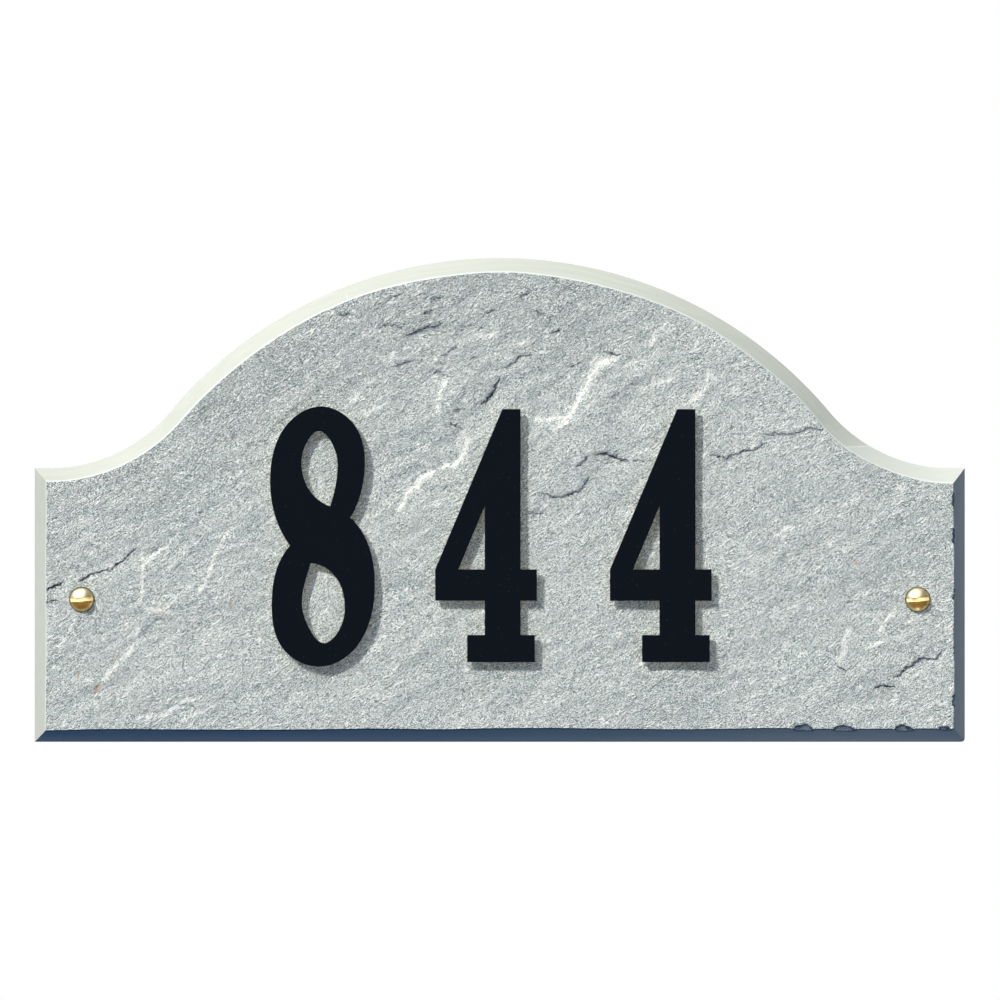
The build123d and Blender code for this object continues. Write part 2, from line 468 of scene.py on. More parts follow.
    def line_share(
        self,
        tree: NodeTree,
        frays: tuple[NodeSocket | float, NodeSocket | float],
        line: str,
        width: float,
        most: float,
    ) -> NodeSocket:
        """Draw the lines from which the mesh holds its distance.

        Args:
            tree: The material's node tree.
            frays: Millimetres by which the lines' edges are frayed, and how full the lines are.
            line: The attribute with the lines' strength; their distance has "_at" after that name.
            width: Half of the width, in millimetres, of a line of full strength.
            most: The share in the middle of a line.

        Returns:
            How much of a place is line.
        """
        shift, fullness = frays
        strength = add_node(tree, "Attribute", attribute_name=line).outputs["Fac"]
        far = add_node(tree, "Attribute", attribute_name=line + "_at").outputs["Fac"]
        frayed = add_node(tree, "Math", {0: far, 1: shift}, operation="ADD").outputs[0]
        aside = add_node(tree, "Math", {0: frayed}, operation="ABSOLUTE").outputs[0]
        full = add_node(tree, "Math", {0: strength, 1: fullness}, operation="MULTIPLY").outputs[0]
        room = add_node(
            tree, "Math", {0: full, 1: width, 2: self.thinnest_line}, operation="MULTIPLY_ADD"
        ).outputs[0]
        ratio = add_node(tree, "Math", {0: aside, 1: room}, operation="DIVIDE").outputs[0]
        share = add_node(
            tree,
            "MapRange",
            {"Value": ratio, "From Min": 1.0, "From Max": self.line_core, "To Min": 0.0, "To Max": most},
            interpolation_type="SMOOTHSTEP",
        ).outputs[0]
        present = add_node(
            tree, "MapRange", {"Value": full, "From Min": 0.03, "From Max": 0.2}
        ).outputs[0]
        return add_node(tree, "Math", {0: share, 1: present}, operation="MULTIPLY").outputs[0]

    def stone_colour(self, tree: NodeTree, patterns: Patterns) -> NodeSocket:
        """Mix the stone's own colours.

        Args:
            tree: The material's node tree.
            patterns: The patterns that the colours follow, by name.

        Returns:
            The colour, before cracks and stains.
        """
        colour = linear(self.stone)
        for name, low, high, tint, most in (
            ("crown", 0.0, 1.0, self.deep_grit, 0.34),
            ("clouds", 0.5, 0.72, self.pale_bed, 0.2),
            ("clouds", 0.5, 0.3, self.blue_bed, 0.25),
            ("streaks", 0.5, 0.72, self.pale_bed, 0.14),
            ("streaks", 0.5, 0.28, self.blue_bed, 0.16),
            ("bedding", 0.5, 0.28, self.blue_bed, 0.12),
            ("gaps", 0.5, 0.75, self.warm_mica, 0.25),
            ("grit", 0.52, 0.58, self.pale_bed, 1.0),
            ("grit", 0.48, 0.4, self.deep_grit, 0.9),
        ):
            share = add_node(
                tree,
                "MapRange",
                {"Value": patterns[name], "From Min": low, "From Max": high, "To Min": 0.0, "To Max": most},
            ).outputs[0]
            colour = add_node(
                tree, "Mix", {0: share, MIX_A: colour, MIX_B: linear(tint)}, data_type="RGBA"
            ).outputs[MIX_RESULT]
        return colour


@dataclass(frozen=True)
class GroundSlate:
    """Slate ground on a wheel or sawn, with sizes in millimetres."""

    name: str
    stone: str
    line_colour: str
    # Real wheel marks are too fine to show, so the lines are drawn this far apart
    line_spacing: float
    line_stretch: float
    line_height: float
    roughness: float
    line_length: float = 40.0
    specular: float = 0.3
    # Pale colour of bruises and joins, and of the painted highlight along the top and left arris
    bruise_and_highlight: str = "D2D8D1"
    # Paler tone of the top bevel past its right join
    fresh: str = "D2D6D0"
    # Painted shade under the bottom arris
    under_arris_shade: str = "34383C"
    under_arris_shade_share: float = 0.8

    def material(self) -> Material:
        """Make the material, with bruises, painted highlight and painted shade on the arris, and the joins
        of passes from the mesh's attributes.

        Returns:
            The material.
        """
        # A ground face is even and dull, with faint lines along the wheel's path, bruises and painted
        # highlight along its edge, and painted shade under the bottom arris
        material, tree, shader = new_material(self.name)
        place = add_node(tree, "TexCoord").outputs["Object"]
        lines = add_node(
            tree,
            "Mapping",
            {
                "Vector": place,
                "Scale": (
                    self.line_length * MM,
                    self.line_spacing * MM,
                    self.line_spacing * self.line_stretch * MM,
                ),
            },
            vector_type="TEXTURE",
        ).outputs[0]
        grinding = add_node(
            tree, "TexNoise", {"Vector": lines, "Scale": 1.0, "Detail": 2.0}
        ).outputs["Fac"]
        share = add_node(
            tree,
            "MapRange",
            {"Value": grinding, "From Min": 0.35, "From Max": 0.7, "To Min": 0.0, "To Max": 1.0},
        ).outputs[0]
        colour = add_node(
            tree,
            "Mix",
            {0: share, MIX_A: linear(self.stone), MIX_B: linear(self.line_colour)},
            data_type="RGBA",
        ).outputs[MIX_RESULT]
        # Arris marks: painted highlight on the top and left, bruises on the right, painted shade at the
        # bottom
        arris_marks = add_node(tree, "Attribute", attribute_name="arris").outputs["Fac"]
        past_join = add_node(tree, "Attribute", attribute_name="past_join").outputs["Fac"]
        from_join = add_node(tree, "Math", {0: past_join}, operation="ABSOLUTE").outputs[0]
        paler_share, on_join = (
            add_node(
                tree,
                "MapRange",
                {"Value": far, "From Min": low, "From Max": high, "To Min": 0.0, "To Max": most},
            ).outputs[0]
            for far, low, high, most in ((past_join, 0.0, 0.2, 0.35), (from_join, 0.4, 0.1, 0.8))
        )
        # Painted shade where the arris mark is below 0, under the bottom arris
        arris_shade_share = add_node(
            tree, "Math", {0: arris_marks, 1: -self.under_arris_shade_share}, operation="MULTIPLY"
        ).outputs[0]
        for share, tint in (
            (paler_share, self.fresh),
            (on_join, self.bruise_and_highlight),
            (arris_marks, self.bruise_and_highlight),
            (arris_shade_share, self.under_arris_shade),
        ):
            colour = add_node(
                tree, "Mix", {0: share, MIX_A: colour, MIX_B: linear(tint)}, data_type="RGBA"
            ).outputs[MIX_RESULT]
        normal = add_node(
            tree, "Bump", {"Height": grinding, "Distance": self.line_height * MM}
        ).outputs[0]
        tree.links.new(colour, shader.inputs["Base Color"])
        tree.links.new(normal, shader.inputs["Normal"])
        shader.inputs["Roughness"].default_value = self.roughness
        shader.inputs["Specular IOR Level"].default_value = self.specular
        return material


@dataclass(frozen=True)
class SatinBlack:
    """Black coating on sheet metal, with sizes in millimetres."""

    coat: str = "0F141B"
    speck: str = "3E454C"
    # Real dust and the coat's peel are too fine to show, so both are drawn this coarse
    speck_spacing: float = 2.6
    speck_edge: float = 0.09
    speck_core: float = 0.03
    speck_share: float = 0.8
    peel_size: float = 0.7
    peel_height: float = 0.01
    roughness: float = 0.5
    specular: float = 0.015

    def material(self) -> Material:
        """Make the material.

        Returns:
            The material.
        """
        # The coat is deep black with a low sheen, and a dust of pale specks lies on it
        material, tree, shader = new_material("satin_black_coat")
        place = add_node(tree, "TexCoord").outputs["Object"]
        distance = add_node(
            tree, "TexVoronoi", {"Vector": place, "Scale": 1 / (self.speck_spacing * MM)}
        ).outputs["Distance"]
        dust = add_node(
            tree,
            "MapRange",
            {
                "Value": distance,
                "From Min": self.speck_edge,
                "From Max": self.speck_core,
                "To Min": 0.0,
                "To Max": self.speck_share,
            },
        ).outputs[0]
        colour = add_node(
            tree,
            "Mix",
            {0: dust, MIX_A: linear(self.coat), MIX_B: linear(self.speck)},
            data_type="RGBA",
        ).outputs[MIX_RESULT]
        peel = add_node(
            tree, "TexNoise", {"Vector": place, "Scale": 1 / (self.peel_size * MM)}
        ).outputs["Fac"]
        normal = add_node(tree, "Bump", {"Height": peel, "Distance": self.peel_height * MM}).outputs[0]
        tree.links.new(colour, shader.inputs["Base Color"])
        tree.links.new(normal, shader.inputs["Normal"])
        shader.inputs["Roughness"].default_value = self.roughness
        shader.inputs["Specular IOR Level"].default_value = self.specular
        return material


@dataclass(frozen=True)
class ClosedCellFoam:
    """Closed-cell foam tape, with sizes in millimetres."""

    skin: str = "2B2D2F"
    # Painted shade in the cut cells
    painted_pit_shade: str = "141516"
    # Real cells are too fine to show, so they are drawn this coarse
    cell_size: float = 0.35
    pit_depth: float = 0.12
    roughness: float = 0.9

    def material(self) -> Material:
        """Make the material.

        Returns:
            The material.
        """
        # The foam is dark and dull, and pitted where its cells are cut open, with painted shade in the pits
        material, tree, shader = new_material("closed_cell_foam")
        place = add_node(tree, "TexCoord").outputs["Object"]
        cells = add_node(
            tree, "TexVoronoi", {"Vector": place, "Scale": 1 / (self.cell_size * MM)}
        ).outputs["Distance"]
        colour = add_node(
            tree, "Mix", {0: cells, MIX_A: linear(self.painted_pit_shade), MIX_B: linear(self.skin)}, data_type="RGBA"
        ).outputs[MIX_RESULT]
        normal = add_node(tree, "Bump", {"Height": cells, "Distance": self.pit_depth * MM}).outputs[0]
        tree.links.new(colour, shader.inputs["Base Color"])
        tree.links.new(normal, shader.inputs["Normal"])
        shader.inputs["Roughness"].default_value = self.roughness
        return material


@dataclass(frozen=True)
class AgedBrass:
    """Turned brass that has begun to tarnish, with sizes in millimetres."""

    bright: str = "F0E0AE"
    tarnish: str = "B08C48"
    # Painted shade round the head's rim
    painted_rim_shade: str = "2A1E0E"
    patch_size: float = 2.4
    # Real turning marks are too fine to show, so they are drawn this coarse
    turning_size: float = 0.25
    turning_height: float = 0.004
    sawn_roughness: float = 0.05

    def material(self) -> Material:
        """Make the material, with painted shade round the rim and the sawn slot from the mesh's attributes.

        Returns:
            The material.
        """
        # The brass mirrors softly, in brown patches where it has tarnished, with painted shade round the
        # head's rim
        material, tree, shader = new_material("aged_brass")
        place = add_node(tree, "TexCoord").outputs["Object"]
        patches = add_node(
            tree,
            "TexNoise",
            {"Vector": place, "Scale": 1 / (self.patch_size * MM), "Detail": 4.0, "Roughness": 0.65},
        ).outputs["Fac"]
        worn = add_node(
            tree,
            "MapRange",
            {"Value": patches, "From Min": 0.42, "From Max": 0.7, "To Min": 0.0, "To Max": 0.75},
        ).outputs[0]
        colour = add_node(
            tree,
            "Mix",
            {0: worn, MIX_A: linear(self.bright), MIX_B: linear(self.tarnish)},
            data_type="RGBA",
        ).outputs[MIX_RESULT]
        rim_shading = add_node(tree, "Attribute", attribute_name="painted_rim_shade").outputs["Fac"]
        colour = add_node(
            tree, "Mix", {0: rim_shading, MIX_A: colour, MIX_B: linear(self.painted_rim_shade)}, data_type="RGBA"
        ).outputs[MIX_RESULT]
        polish = add_node(
            tree,
            "MapRange",
            {"Value": patches, "From Min": 0.3, "From Max": 0.7, "To Min": 0.26, "To Max": 0.42},
        ).outputs[0]
        sawn = add_node(tree, "Attribute", attribute_name="sawn").outputs["Fac"]
        roughness = add_node(
            tree, "Math", {0: sawn, 1: self.sawn_roughness, 2: polish}, operation="MULTIPLY_ADD"
        ).outputs[0]
        scratches = add_node(
            tree, "TexNoise", {"Vector": place, "Scale": 1 / (self.turning_size * MM)}
        ).outputs["Fac"]
        normal = add_node(
            tree, "Bump", {"Height": scratches, "Distance": self.turning_height * MM}
        ).outputs[0]
        tree.links.new(colour, shader.inputs["Base Color"])
        tree.links.new(roughness, shader.inputs["Roughness"])
        tree.links.new(normal, shader.inputs["Normal"])
        shader.inputs["Metallic"].default_value = 1.0
        return material


# The stone


@dataclass(frozen=True)
class PhotoFrame:
    """Where a pixel of the photograph lies on the stone, which it shows square on."""

    pixel: float = 0.4
    middle_column: float = 499.75
    screw_row: float = 599.3

    def on_stone(self, marks: Points) -> np.ndarray:
        """Turn pixels into places on the face.

        Args:
            marks: Columns and rows of the photograph.

        Returns:
            Millimetres across and up from the origin, one row for each mark.
        """
        pixels = np.array(marks, float)
        across = (pixels[:, 0] - self.middle_column) * self.pixel
        up = (self.screw_row - pixels[:, 1]) * self.pixel
        return np.column_stack((across, up))


class Lip(Enum):
    """The way from a ledge's high side to its low side, across and up."""

    LIT = (-0.63, 0.78)
    SHADED = (0.63, -0.78)


@dataclass(frozen=True)
class Ledge:
    """A step where a flake came off: its line in the photograph and, in millimetres, its form."""

    lip: Lip
    height: float
    reach: float
    marks: Points
    wall: float = 0.0
    gape: float = 1.0


# Ridges that catch the light, with a painted highlight along each
RIDGES = (
    Ledge(Lip.LIT, 0.7, 24.0, ((446, 374), (443, 385), (438.5, 398), (438, 407), (441, 414)), 0.9),
    Ledge(
        Lip.LIT,
        0.9,
        30.0,
        ((462, 428), (467, 441), (466, 450), (460, 459), (453, 464), (437, 469)),
        2.0,
    ),
    Ledge(Lip.LIT, 0.8, 30.0, ((439, 469), (426, 475), (419, 482), (408, 493), (398, 513)), 1.2),
    Ledge(Lip.LIT, 0.8, 28.0, ((531, 420), (553, 417.5), (564, 419), (572, 412), (578, 403)), 1.2),
    Ledge(
        Lip.LIT,
        0.9,
        28.0,
        ((571, 413), (578, 403), (588, 382), (592, 373), (599, 364), (619, 358)),
        2.0,
    ),
    Ledge(Lip.LIT, 0.3, 6.0, ((475, 336), (489, 335.5), (498, 334)), 0.6),
    Ledge(Lip.LIT, 0.25, 6.0, ((519, 345), (533, 336)), 0.6),
    Ledge(Lip.LIT, 0.25, 6.0, ((551, 433), (569, 420)), 0.8),
    Ledge(Lip.LIT, 0.3, 8.0, ((708, 367), (708, 384), (701, 394), (686, 405)), 1.2),
    Ledge(Lip.LIT, 0.3, 7.0, ((636, 389), (660, 383), (678, 376)), 1.0),
    Ledge(Lip.LIT, 0.25, 6.0, ((649, 337), (669, 320)), 1.0),
    Ledge(Lip.LIT, 0.45, 9.0, ((141, 547), (143, 565), (142, 607)), 0.5),
    Ledge(Lip.LIT, 0.3, 6.0, ((143, 566), (153, 555), (170, 545)), 0.8),
    Ledge(Lip.LIT, 0.3, 6.0, ((142, 606), (162, 612), (177, 613)), 0.8),
    Ledge(Lip.LIT, 0.4, 16.0, ((229, 528), (211, 566), (199, 597)), 0.6),
    Ledge(Lip.LIT, 0.45, 14.0, ((139, 624), (136, 642), (129, 653), (110, 672), (101, 683)), 0.8),
    Ledge(Lip.LIT, 0.3, 6.0, ((76, 617), (72, 626), (64, 641), (58, 650)), 0.6),
    Ledge(Lip.LIT, 0.25, 4.0, ((102, 632), (105, 643)), 0.5),
    Ledge(Lip.LIT, 0.25, 4.0, ((51, 669), (62, 666)), 0.5),
    Ledge(Lip.LIT, 0.3, 6.0, ((836, 663), (846, 650), (842, 640), (853, 626)), 0.8),
    Ledge(Lip.LIT, 0.3, 6.0, ((864, 649), (884, 639)), 0.8),
    Ledge(Lip.LIT, 0.3, 6.0, ((877, 636), (881, 625), (896, 608)), 0.8),
    Ledge(Lip.LIT, 0.3, 5.0, ((900, 480), (895, 492)), 0.8),
    Ledge(Lip.LIT, 0.25, 5.0, ((390, 366), (394, 350)), 0.8),
    Ledge(Lip.LIT, 0.3, 6.0, ((349, 403), (361, 393)), 0.8),
    Ledge(Lip.LIT, 0.3, 6.0, ((361, 415), (378, 408), (392, 399)), 0.8),
    Ledge(Lip.LIT, 0.25, 5.0, ((652, 346), (655, 336)), 0.8),
    Ledge(Lip.LIT, 0.3, 5.0, ((691, 356), (695, 347), (699, 340)), 0.9),
    Ledge(Lip.LIT, 0.25, 5.0, ((624, 367), (635, 360)), 0.8),
    Ledge(Lip.LIT, 0.25, 6.0, ((725, 396), (739, 386)), 0.8),
    Ledge(Lip.LIT, 0.25, 6.0, ((732, 368), (748, 360)), 0.8),
    Ledge(Lip.LIT, 0.25, 6.0, ((721, 548), (727, 539)), 0.8),
    Ledge(Lip.LIT, 0.3, 8.0, ((771, 538), (783, 531), (795, 527)), 1.0),
    Ledge(Lip.LIT, 0.3, 8.0, ((827, 545), (843, 534)), 1.0),
    Ledge(Lip.LIT, 0.25, 5.0, ((867, 626), (874, 618)), 0.8),
    Ledge(Lip.LIT, 0.25, 5.0, ((781, 649), (789, 641)), 0.8),
    Ledge(Lip.LIT, 0.25, 5.0, ((796, 657), (806, 650)), 0.8),
    Ledge(Lip.LIT, 0.25, 5.0, ((855, 686), (862, 686)), 0.8),
    Ledge(Lip.LIT, 0.25, 5.0, ((906, 624), (913, 618)), 0.8),
    Ledge(Lip.LIT, 0.3, 6.0, ((122, 614), (130, 629)), 1.0),
    Ledge(Lip.LIT, 0.25, 5.0, ((82, 680), (96, 680)), 0.8),
    Ledge(Lip.LIT, 0.2, 8.0, ((132, 719), (165, 714), (196, 694)), 0.4),
    Ledge(Lip.LIT, 0.2, 8.0, ((180, 722), (212, 707), (221, 703)), 0.4),
)

# Cracks, which are steep, with painted shadow along each
CRACKS = (
    Ledge(Lip.SHADED, 0.4, 6.0, ((376, 329), (391, 324), (404, 328))),
    Ledge(Lip.SHADED, 0.55, 8.0, ((404, 337), (418, 331), (436, 326), (443, 322)), gape=1.4),
    Ledge(Lip.SHADED, 0.35, 5.0, ((421, 315), (434, 309))),
    Ledge(Lip.SHADED, 0.2, 5.0, ((380, 305), (405, 292))),
    Ledge(Lip.SHADED, 0.35, 5.0, ((390, 367), (409, 362), (416, 359))),
    Ledge(Lip.SHADED, 0.45, 5.0, ((439, 357), (448, 354), (452, 349), (459, 346)), gape=1.2),
    Ledge(Lip.SHADED, 0.3, 4.0, ((431, 299), (444, 298))),
    Ledge(Lip.SHADED, 0.3, 4.0, ((458, 300), (467, 299))),
    Ledge(Lip.SHADED, 0.3, 4.0, ((477, 332), (483, 327))),
    Ledge(Lip.SHADED, 0.3, 4.0, ((485, 313), (495, 310))),
    Ledge(Lip.SHADED, 0.3, 4.0, ((548, 318), (552, 323))),
    Ledge(Lip.SHADED, 0.25, 4.0, ((469, 359), (477, 357))),
    Ledge(Lip.SHADED, 0.3, 4.0, ((434, 374), (439, 371), (444, 372))),
    Ledge(Lip.SHADED, 0.3, 4.0, ((455, 412), (464, 409))),
    Ledge(Lip.SHADED, 0.3, 4.0, ((571, 368), (580, 362))),
    Ledge(Lip.SHADED, 0.3, 5.0, ((611, 400), (619, 391))),
    Ledge(Lip.SHADED, 0.3, 4.0, ((692, 354), (701, 354))),
    Ledge(Lip.SHADED, 0.5, 5.0, ((448, 423), (456, 426), (464, 430))),
    Ledge(Lip.SHADED, 0.75, 8.0, ((481, 406), (488, 398), (495, 389), (500, 376)), gape=1.7),
    Ledge(Lip.SHADED, 0.45, 6.0, ((504, 368), (513, 363), (519, 358), (532, 355))),
    Ledge(Lip.SHADED, 0.4, 5.0, ((519, 296), (532, 293))),
    Ledge(Lip.SHADED, 0.4, 5.0, ((533, 310), (547, 315))),
    Ledge(Lip.SHADED, 0.4, 5.0, ((550, 334), (561, 329))),
    Ledge(Lip.SHADED, 0.4, 5.0, ((604, 352), (619, 356))),
    Ledge(Lip.SHADED, 0.65, 9.0, ((591, 454), (601, 453), (613, 456), (631, 462)), gape=1.3),
    Ledge(Lip.SHADED, 0.15, 4.0, ((631, 461), (655, 461))),
    Ledge(Lip.SHADED, 0.45, 6.0, ((575, 468), (582, 463), (588, 457))),
    Ledge(
        Lip.SHADED,
        0.55,
        20.0,
        ((540, 492), (556, 498), (568, 494), (580, 491), (584, 484), (590, 474)),
        gape=0.8,
    ),
    Ledge(Lip.SHADED, 0.2, 4.0, ((526, 513), (543, 513))),
    Ledge(Lip.SHADED, 0.3, 4.0, ((338, 315), (355, 315))),
    Ledge(
        Lip.SHADED,
        0.55,
        22.0,
        ((708, 454), (727, 460), (731, 455), (739, 453), (753, 449), (768, 443)),
        gape=0.7,
    ),
    Ledge(
        Lip.SHADED,
        0.55,
        22.0,
        ((760, 436), (774, 433), (793, 434), (801, 431), (808, 428), (826, 430)),
        gape=0.6,
    ),
    Ledge(Lip.SHADED, 0.5, 8.0, ((45, 590), (64, 582)), gape=2.2),
    Ledge(Lip.SHADED, 0.4, 6.0, ((44, 604), (52, 601), (59, 601)), gape=1.2),
    Ledge(Lip.SHADED, 0.5, 10.0, ((78, 581), (87, 578), (91, 573), (101, 572), (112, 569)), gape=1.5),
    Ledge(Lip.SHADED, 0.35, 6.0, ((112, 569), (124, 560), (137, 547)), gape=1.3),
    Ledge(Lip.SHADED, 0.5, 16.0, ((874, 688), (881, 685), (895, 686)), gape=1.4),
    Ledge(
        Lip.SHADED,
        0.65,
        18.0,
        ((893, 681), (895, 676), (900, 674), (906, 666), (912, 664), (920, 657), (935, 659), (942, 647)),
    ),
    Ledge(Lip.SHADED, 0.45, 4.0, ((837, 666), (847, 671))),
)

# Soft falls, with no crack
SOFT_FALLS = (
    Ledge(Lip.SHADED, 0.8, 14.0, ((602, 428), (622, 402), (642, 376)), 6.0, 0.0),
    Ledge(Lip.SHADED, 0.8, 12.0, ((458, 424), (476, 404), (496, 384)), 6.0, 0.0),
    Ledge(Lip.SHADED, 0.5, 7.0, ((384, 590), (404, 587), (430, 582)), 6.0, 0.0),
    Ledge(Lip.SHADED, 0.6, 14.0, ((50, 578), (84, 564), (120, 550)), 7.0, 0.0),
    Ledge(Lip.SHADED, 0.5, 12.0, ((400, 343), (428, 335), (456, 324)), 7.0, 0.0),
    Ledge(Lip.SHADED, 0.5, 10.0, ((52, 710), (76, 697), (104, 682)), 6.0, 0.0),
    Ledge(Lip.SHADED, 0.6, 12.0, ((572, 486), (598, 468), (624, 450)), 7.0, 0.0),
    Ledge(Lip.SHADED, 0.5, 12.0, ((884, 668), (912, 656), (942, 642)), 6.0, 0.0),
    Ledge(Lip.SHADED, 0.7, 16.0, ((148, 612), (144, 646), (128, 670), (106, 694)), 6.0, 0.0),
    Ledge(Lip.SHADED, 0.5, 12.0, ((150, 546), (152, 576), (150, 606)), 5.0, 0.0),
    Ledge(Lip.SHADED, 0.5, 12.0, ((226, 536), (214, 570), (207, 600)), 5.0, 0.0),
)


@dataclass(frozen=True)
class ArrisChip:
    """A chip out of the arris: its curved wall in the photograph, on the side away from the edge."""

    marks: Points
    depth: float = 0.9
    reach: float = 6.0
    wall: float = 1.2


ARRIS_CHIPS = (
    ArrisChip(((789, 730), (795, 726), (803, 725), (810, 726), (816, 730))),
    ArrisChip(((829, 730), (836, 727), (844, 725), (851, 727), (858, 730))),
    ArrisChip(((888, 730), (895, 727), (902, 725.5), (908, 727), (915, 730))),
    ArrisChip(((934, 730), (940, 727), (948, 727), (951, 730)), 0.6),
    ArrisChip(((956, 490), (952.5, 495), (951.5, 503), (952.5, 509), (956, 512)), 0.8),
    ArrisChip(((956, 526), (952.5, 532), (952, 543), (956, 551)), 0.8),
    ArrisChip(((956, 582), (953.5, 589), (951.5, 598), (956, 604)), 0.8),
    ArrisChip(((956, 644), (952.5, 648), (952, 652), (956, 654)), 0.7),
    ArrisChip(((956, 685), (952.5, 692), (951, 704), (956, 710)), 0.8),
    ArrisChip(((956, 711), (952.5, 714), (956, 717)), 0.6),
)

# Where two grinding passes of the top bevel join, in pixels: on the left and on the right
BEVEL_JOINS = (((347, 297), (340, 285)), ((869, 446), (847, 447)))

# Column and row of each rust mark, its size in millimetres and its strength
RUST_MARKS = (
    (98, 688, 1.4, 1.0),
    (78, 673, 0.9, 0.7),
    (115, 657, 1.2, 0.4),
    (232, 604, 0.8, 0.6),
    (155, 609, 1.6, 0.45),
    (164, 612, 1.7, 0.55),
    (856, 562, 0.8, 0.6),
)


@dataclass(frozen=True)
class SlateOutline:
    """The plate's outline in millimetres, across and up from the origin, with the bevel inside it."""

    half_width: float
    bottom: float
    crown: float
    shoulder_height: float = 109.5
    shoulder_land: float = 0.8
    crown_radius: float = 172.0
    worn_corner: float = 1.4
    bevel: float = 5.2
    bevel_top: float = 6.5
    bevel_bottom: float = 5.8
    bevel_left: float = 5.7
    bevel_right: float = 5.1
    thickness: float = 12.0

    @classmethod
    def of_frame(cls) -> "SlateOutline":
        """Take the overall sizes from the CAD node."""
        low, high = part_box("slate_plate")
        return cls(half_width=high.x / MM, bottom=low.z / MM, crown=high.z / MM)

    @property
    def shoulder(self) -> float:
        """Level of the flat shoulders."""
        return self.bottom + self.shoulder_height

    @property
    def cove_end(self) -> float:
        """Where the cove runs into the flat shoulder."""
        return self.half_width - self.bevel - self.shoulder_land

    @property
    def arch_radii(self) -> float:
        """Radius of the crown and of the cove together."""
        rise = self.crown - self.shoulder
        return (self.cove_end**2 + rise**2) / (2 * rise)

    @property
    def cove_radius(self) -> float:
        """Radius of the hollow at each shoulder."""
        return self.arch_radii - self.crown_radius

    @property
    def crown_centre(self) -> float:
        """Level of the crown arc's centre."""
        return self.crown - self.crown_radius

    @property
    def cove_centre(self) -> float:
        """Level of the coves' centres."""
        return self.shoulder + self.cove_radius

    def top(self, x: np.ndarray, inset: np.ndarray | float) -> np.ndarray:
        """Level of the arched top, set in from the outline.

        Args:
            x: Places across the plate.
            inset: How far inside the outline to measure.

        Returns:
            The level at each place.
        """
        across = np.abs(x)
        crown = self.crown_radius - inset
        cove = self.cove_radius + inset
        on_crown = self.crown_centre + np.sqrt(np.maximum(crown**2 - across**2, 0))
        in_cove = self.cove_centre - np.sqrt(np.maximum(cove**2 - (across - self.cove_end) ** 2, 0))
        hollow = np.where(across < self.cove_end, in_cove, self.shoulder - inset)
        return np.where(across < self.cove_end * crown / self.arch_radii, on_crown, hollow)

    def top_edge(self, x: float, z: float, arris_end: float) -> tuple[float, float]:
        """The point of the outline that lies square across the bevel from a point of the top arris.

        Args:
            x: The arris point's place across.
            z: Its level.
            arris_end: How far out the arris runs on this side.

        Returns:
            The outline point, across and up.
        """
        side = math.copysign(1, x)
        across = abs(x)
        if across > self.cove_end:
            share = (across - self.cove_end) / (arris_end - self.cove_end)
            return side * (self.cove_end + share * (self.half_width - self.cove_end)), self.shoulder
        crown = math.hypot(across, z - self.crown_centre)
        if across < self.cove_end * crown / self.arch_radii:
            scale = self.crown_radius / crown
            return x * scale, self.crown_centre + (z - self.crown_centre) * scale
        scale = self.cove_radius / math.hypot(across - self.cove_end, z - self.cove_centre)
        out = self.cove_end + (across - self.cove_end) * scale
        return side * out, self.cove_centre + (z - self.cove_centre) * scale

    def worn(self, x: float, z: float) -> tuple[float, float]:
        """Round the outline at its worn bottom right corner.

        Args:
            x: An outline point's place across.
            z: Its level.

        Returns:
            The point, pulled in to the rounded corner where it lies beyond it.
        """
        out = x - (self.half_width - self.worn_corner)
        down = self.bottom + self.worn_corner - z
        far = math.hypot(out, down)
        if out <= 0 or down <= 0 or far <= self.worn_corner:
            return x, z
        pull = self.worn_corner / far
        return x - out * (1 - pull), z + down * (1 - pull)


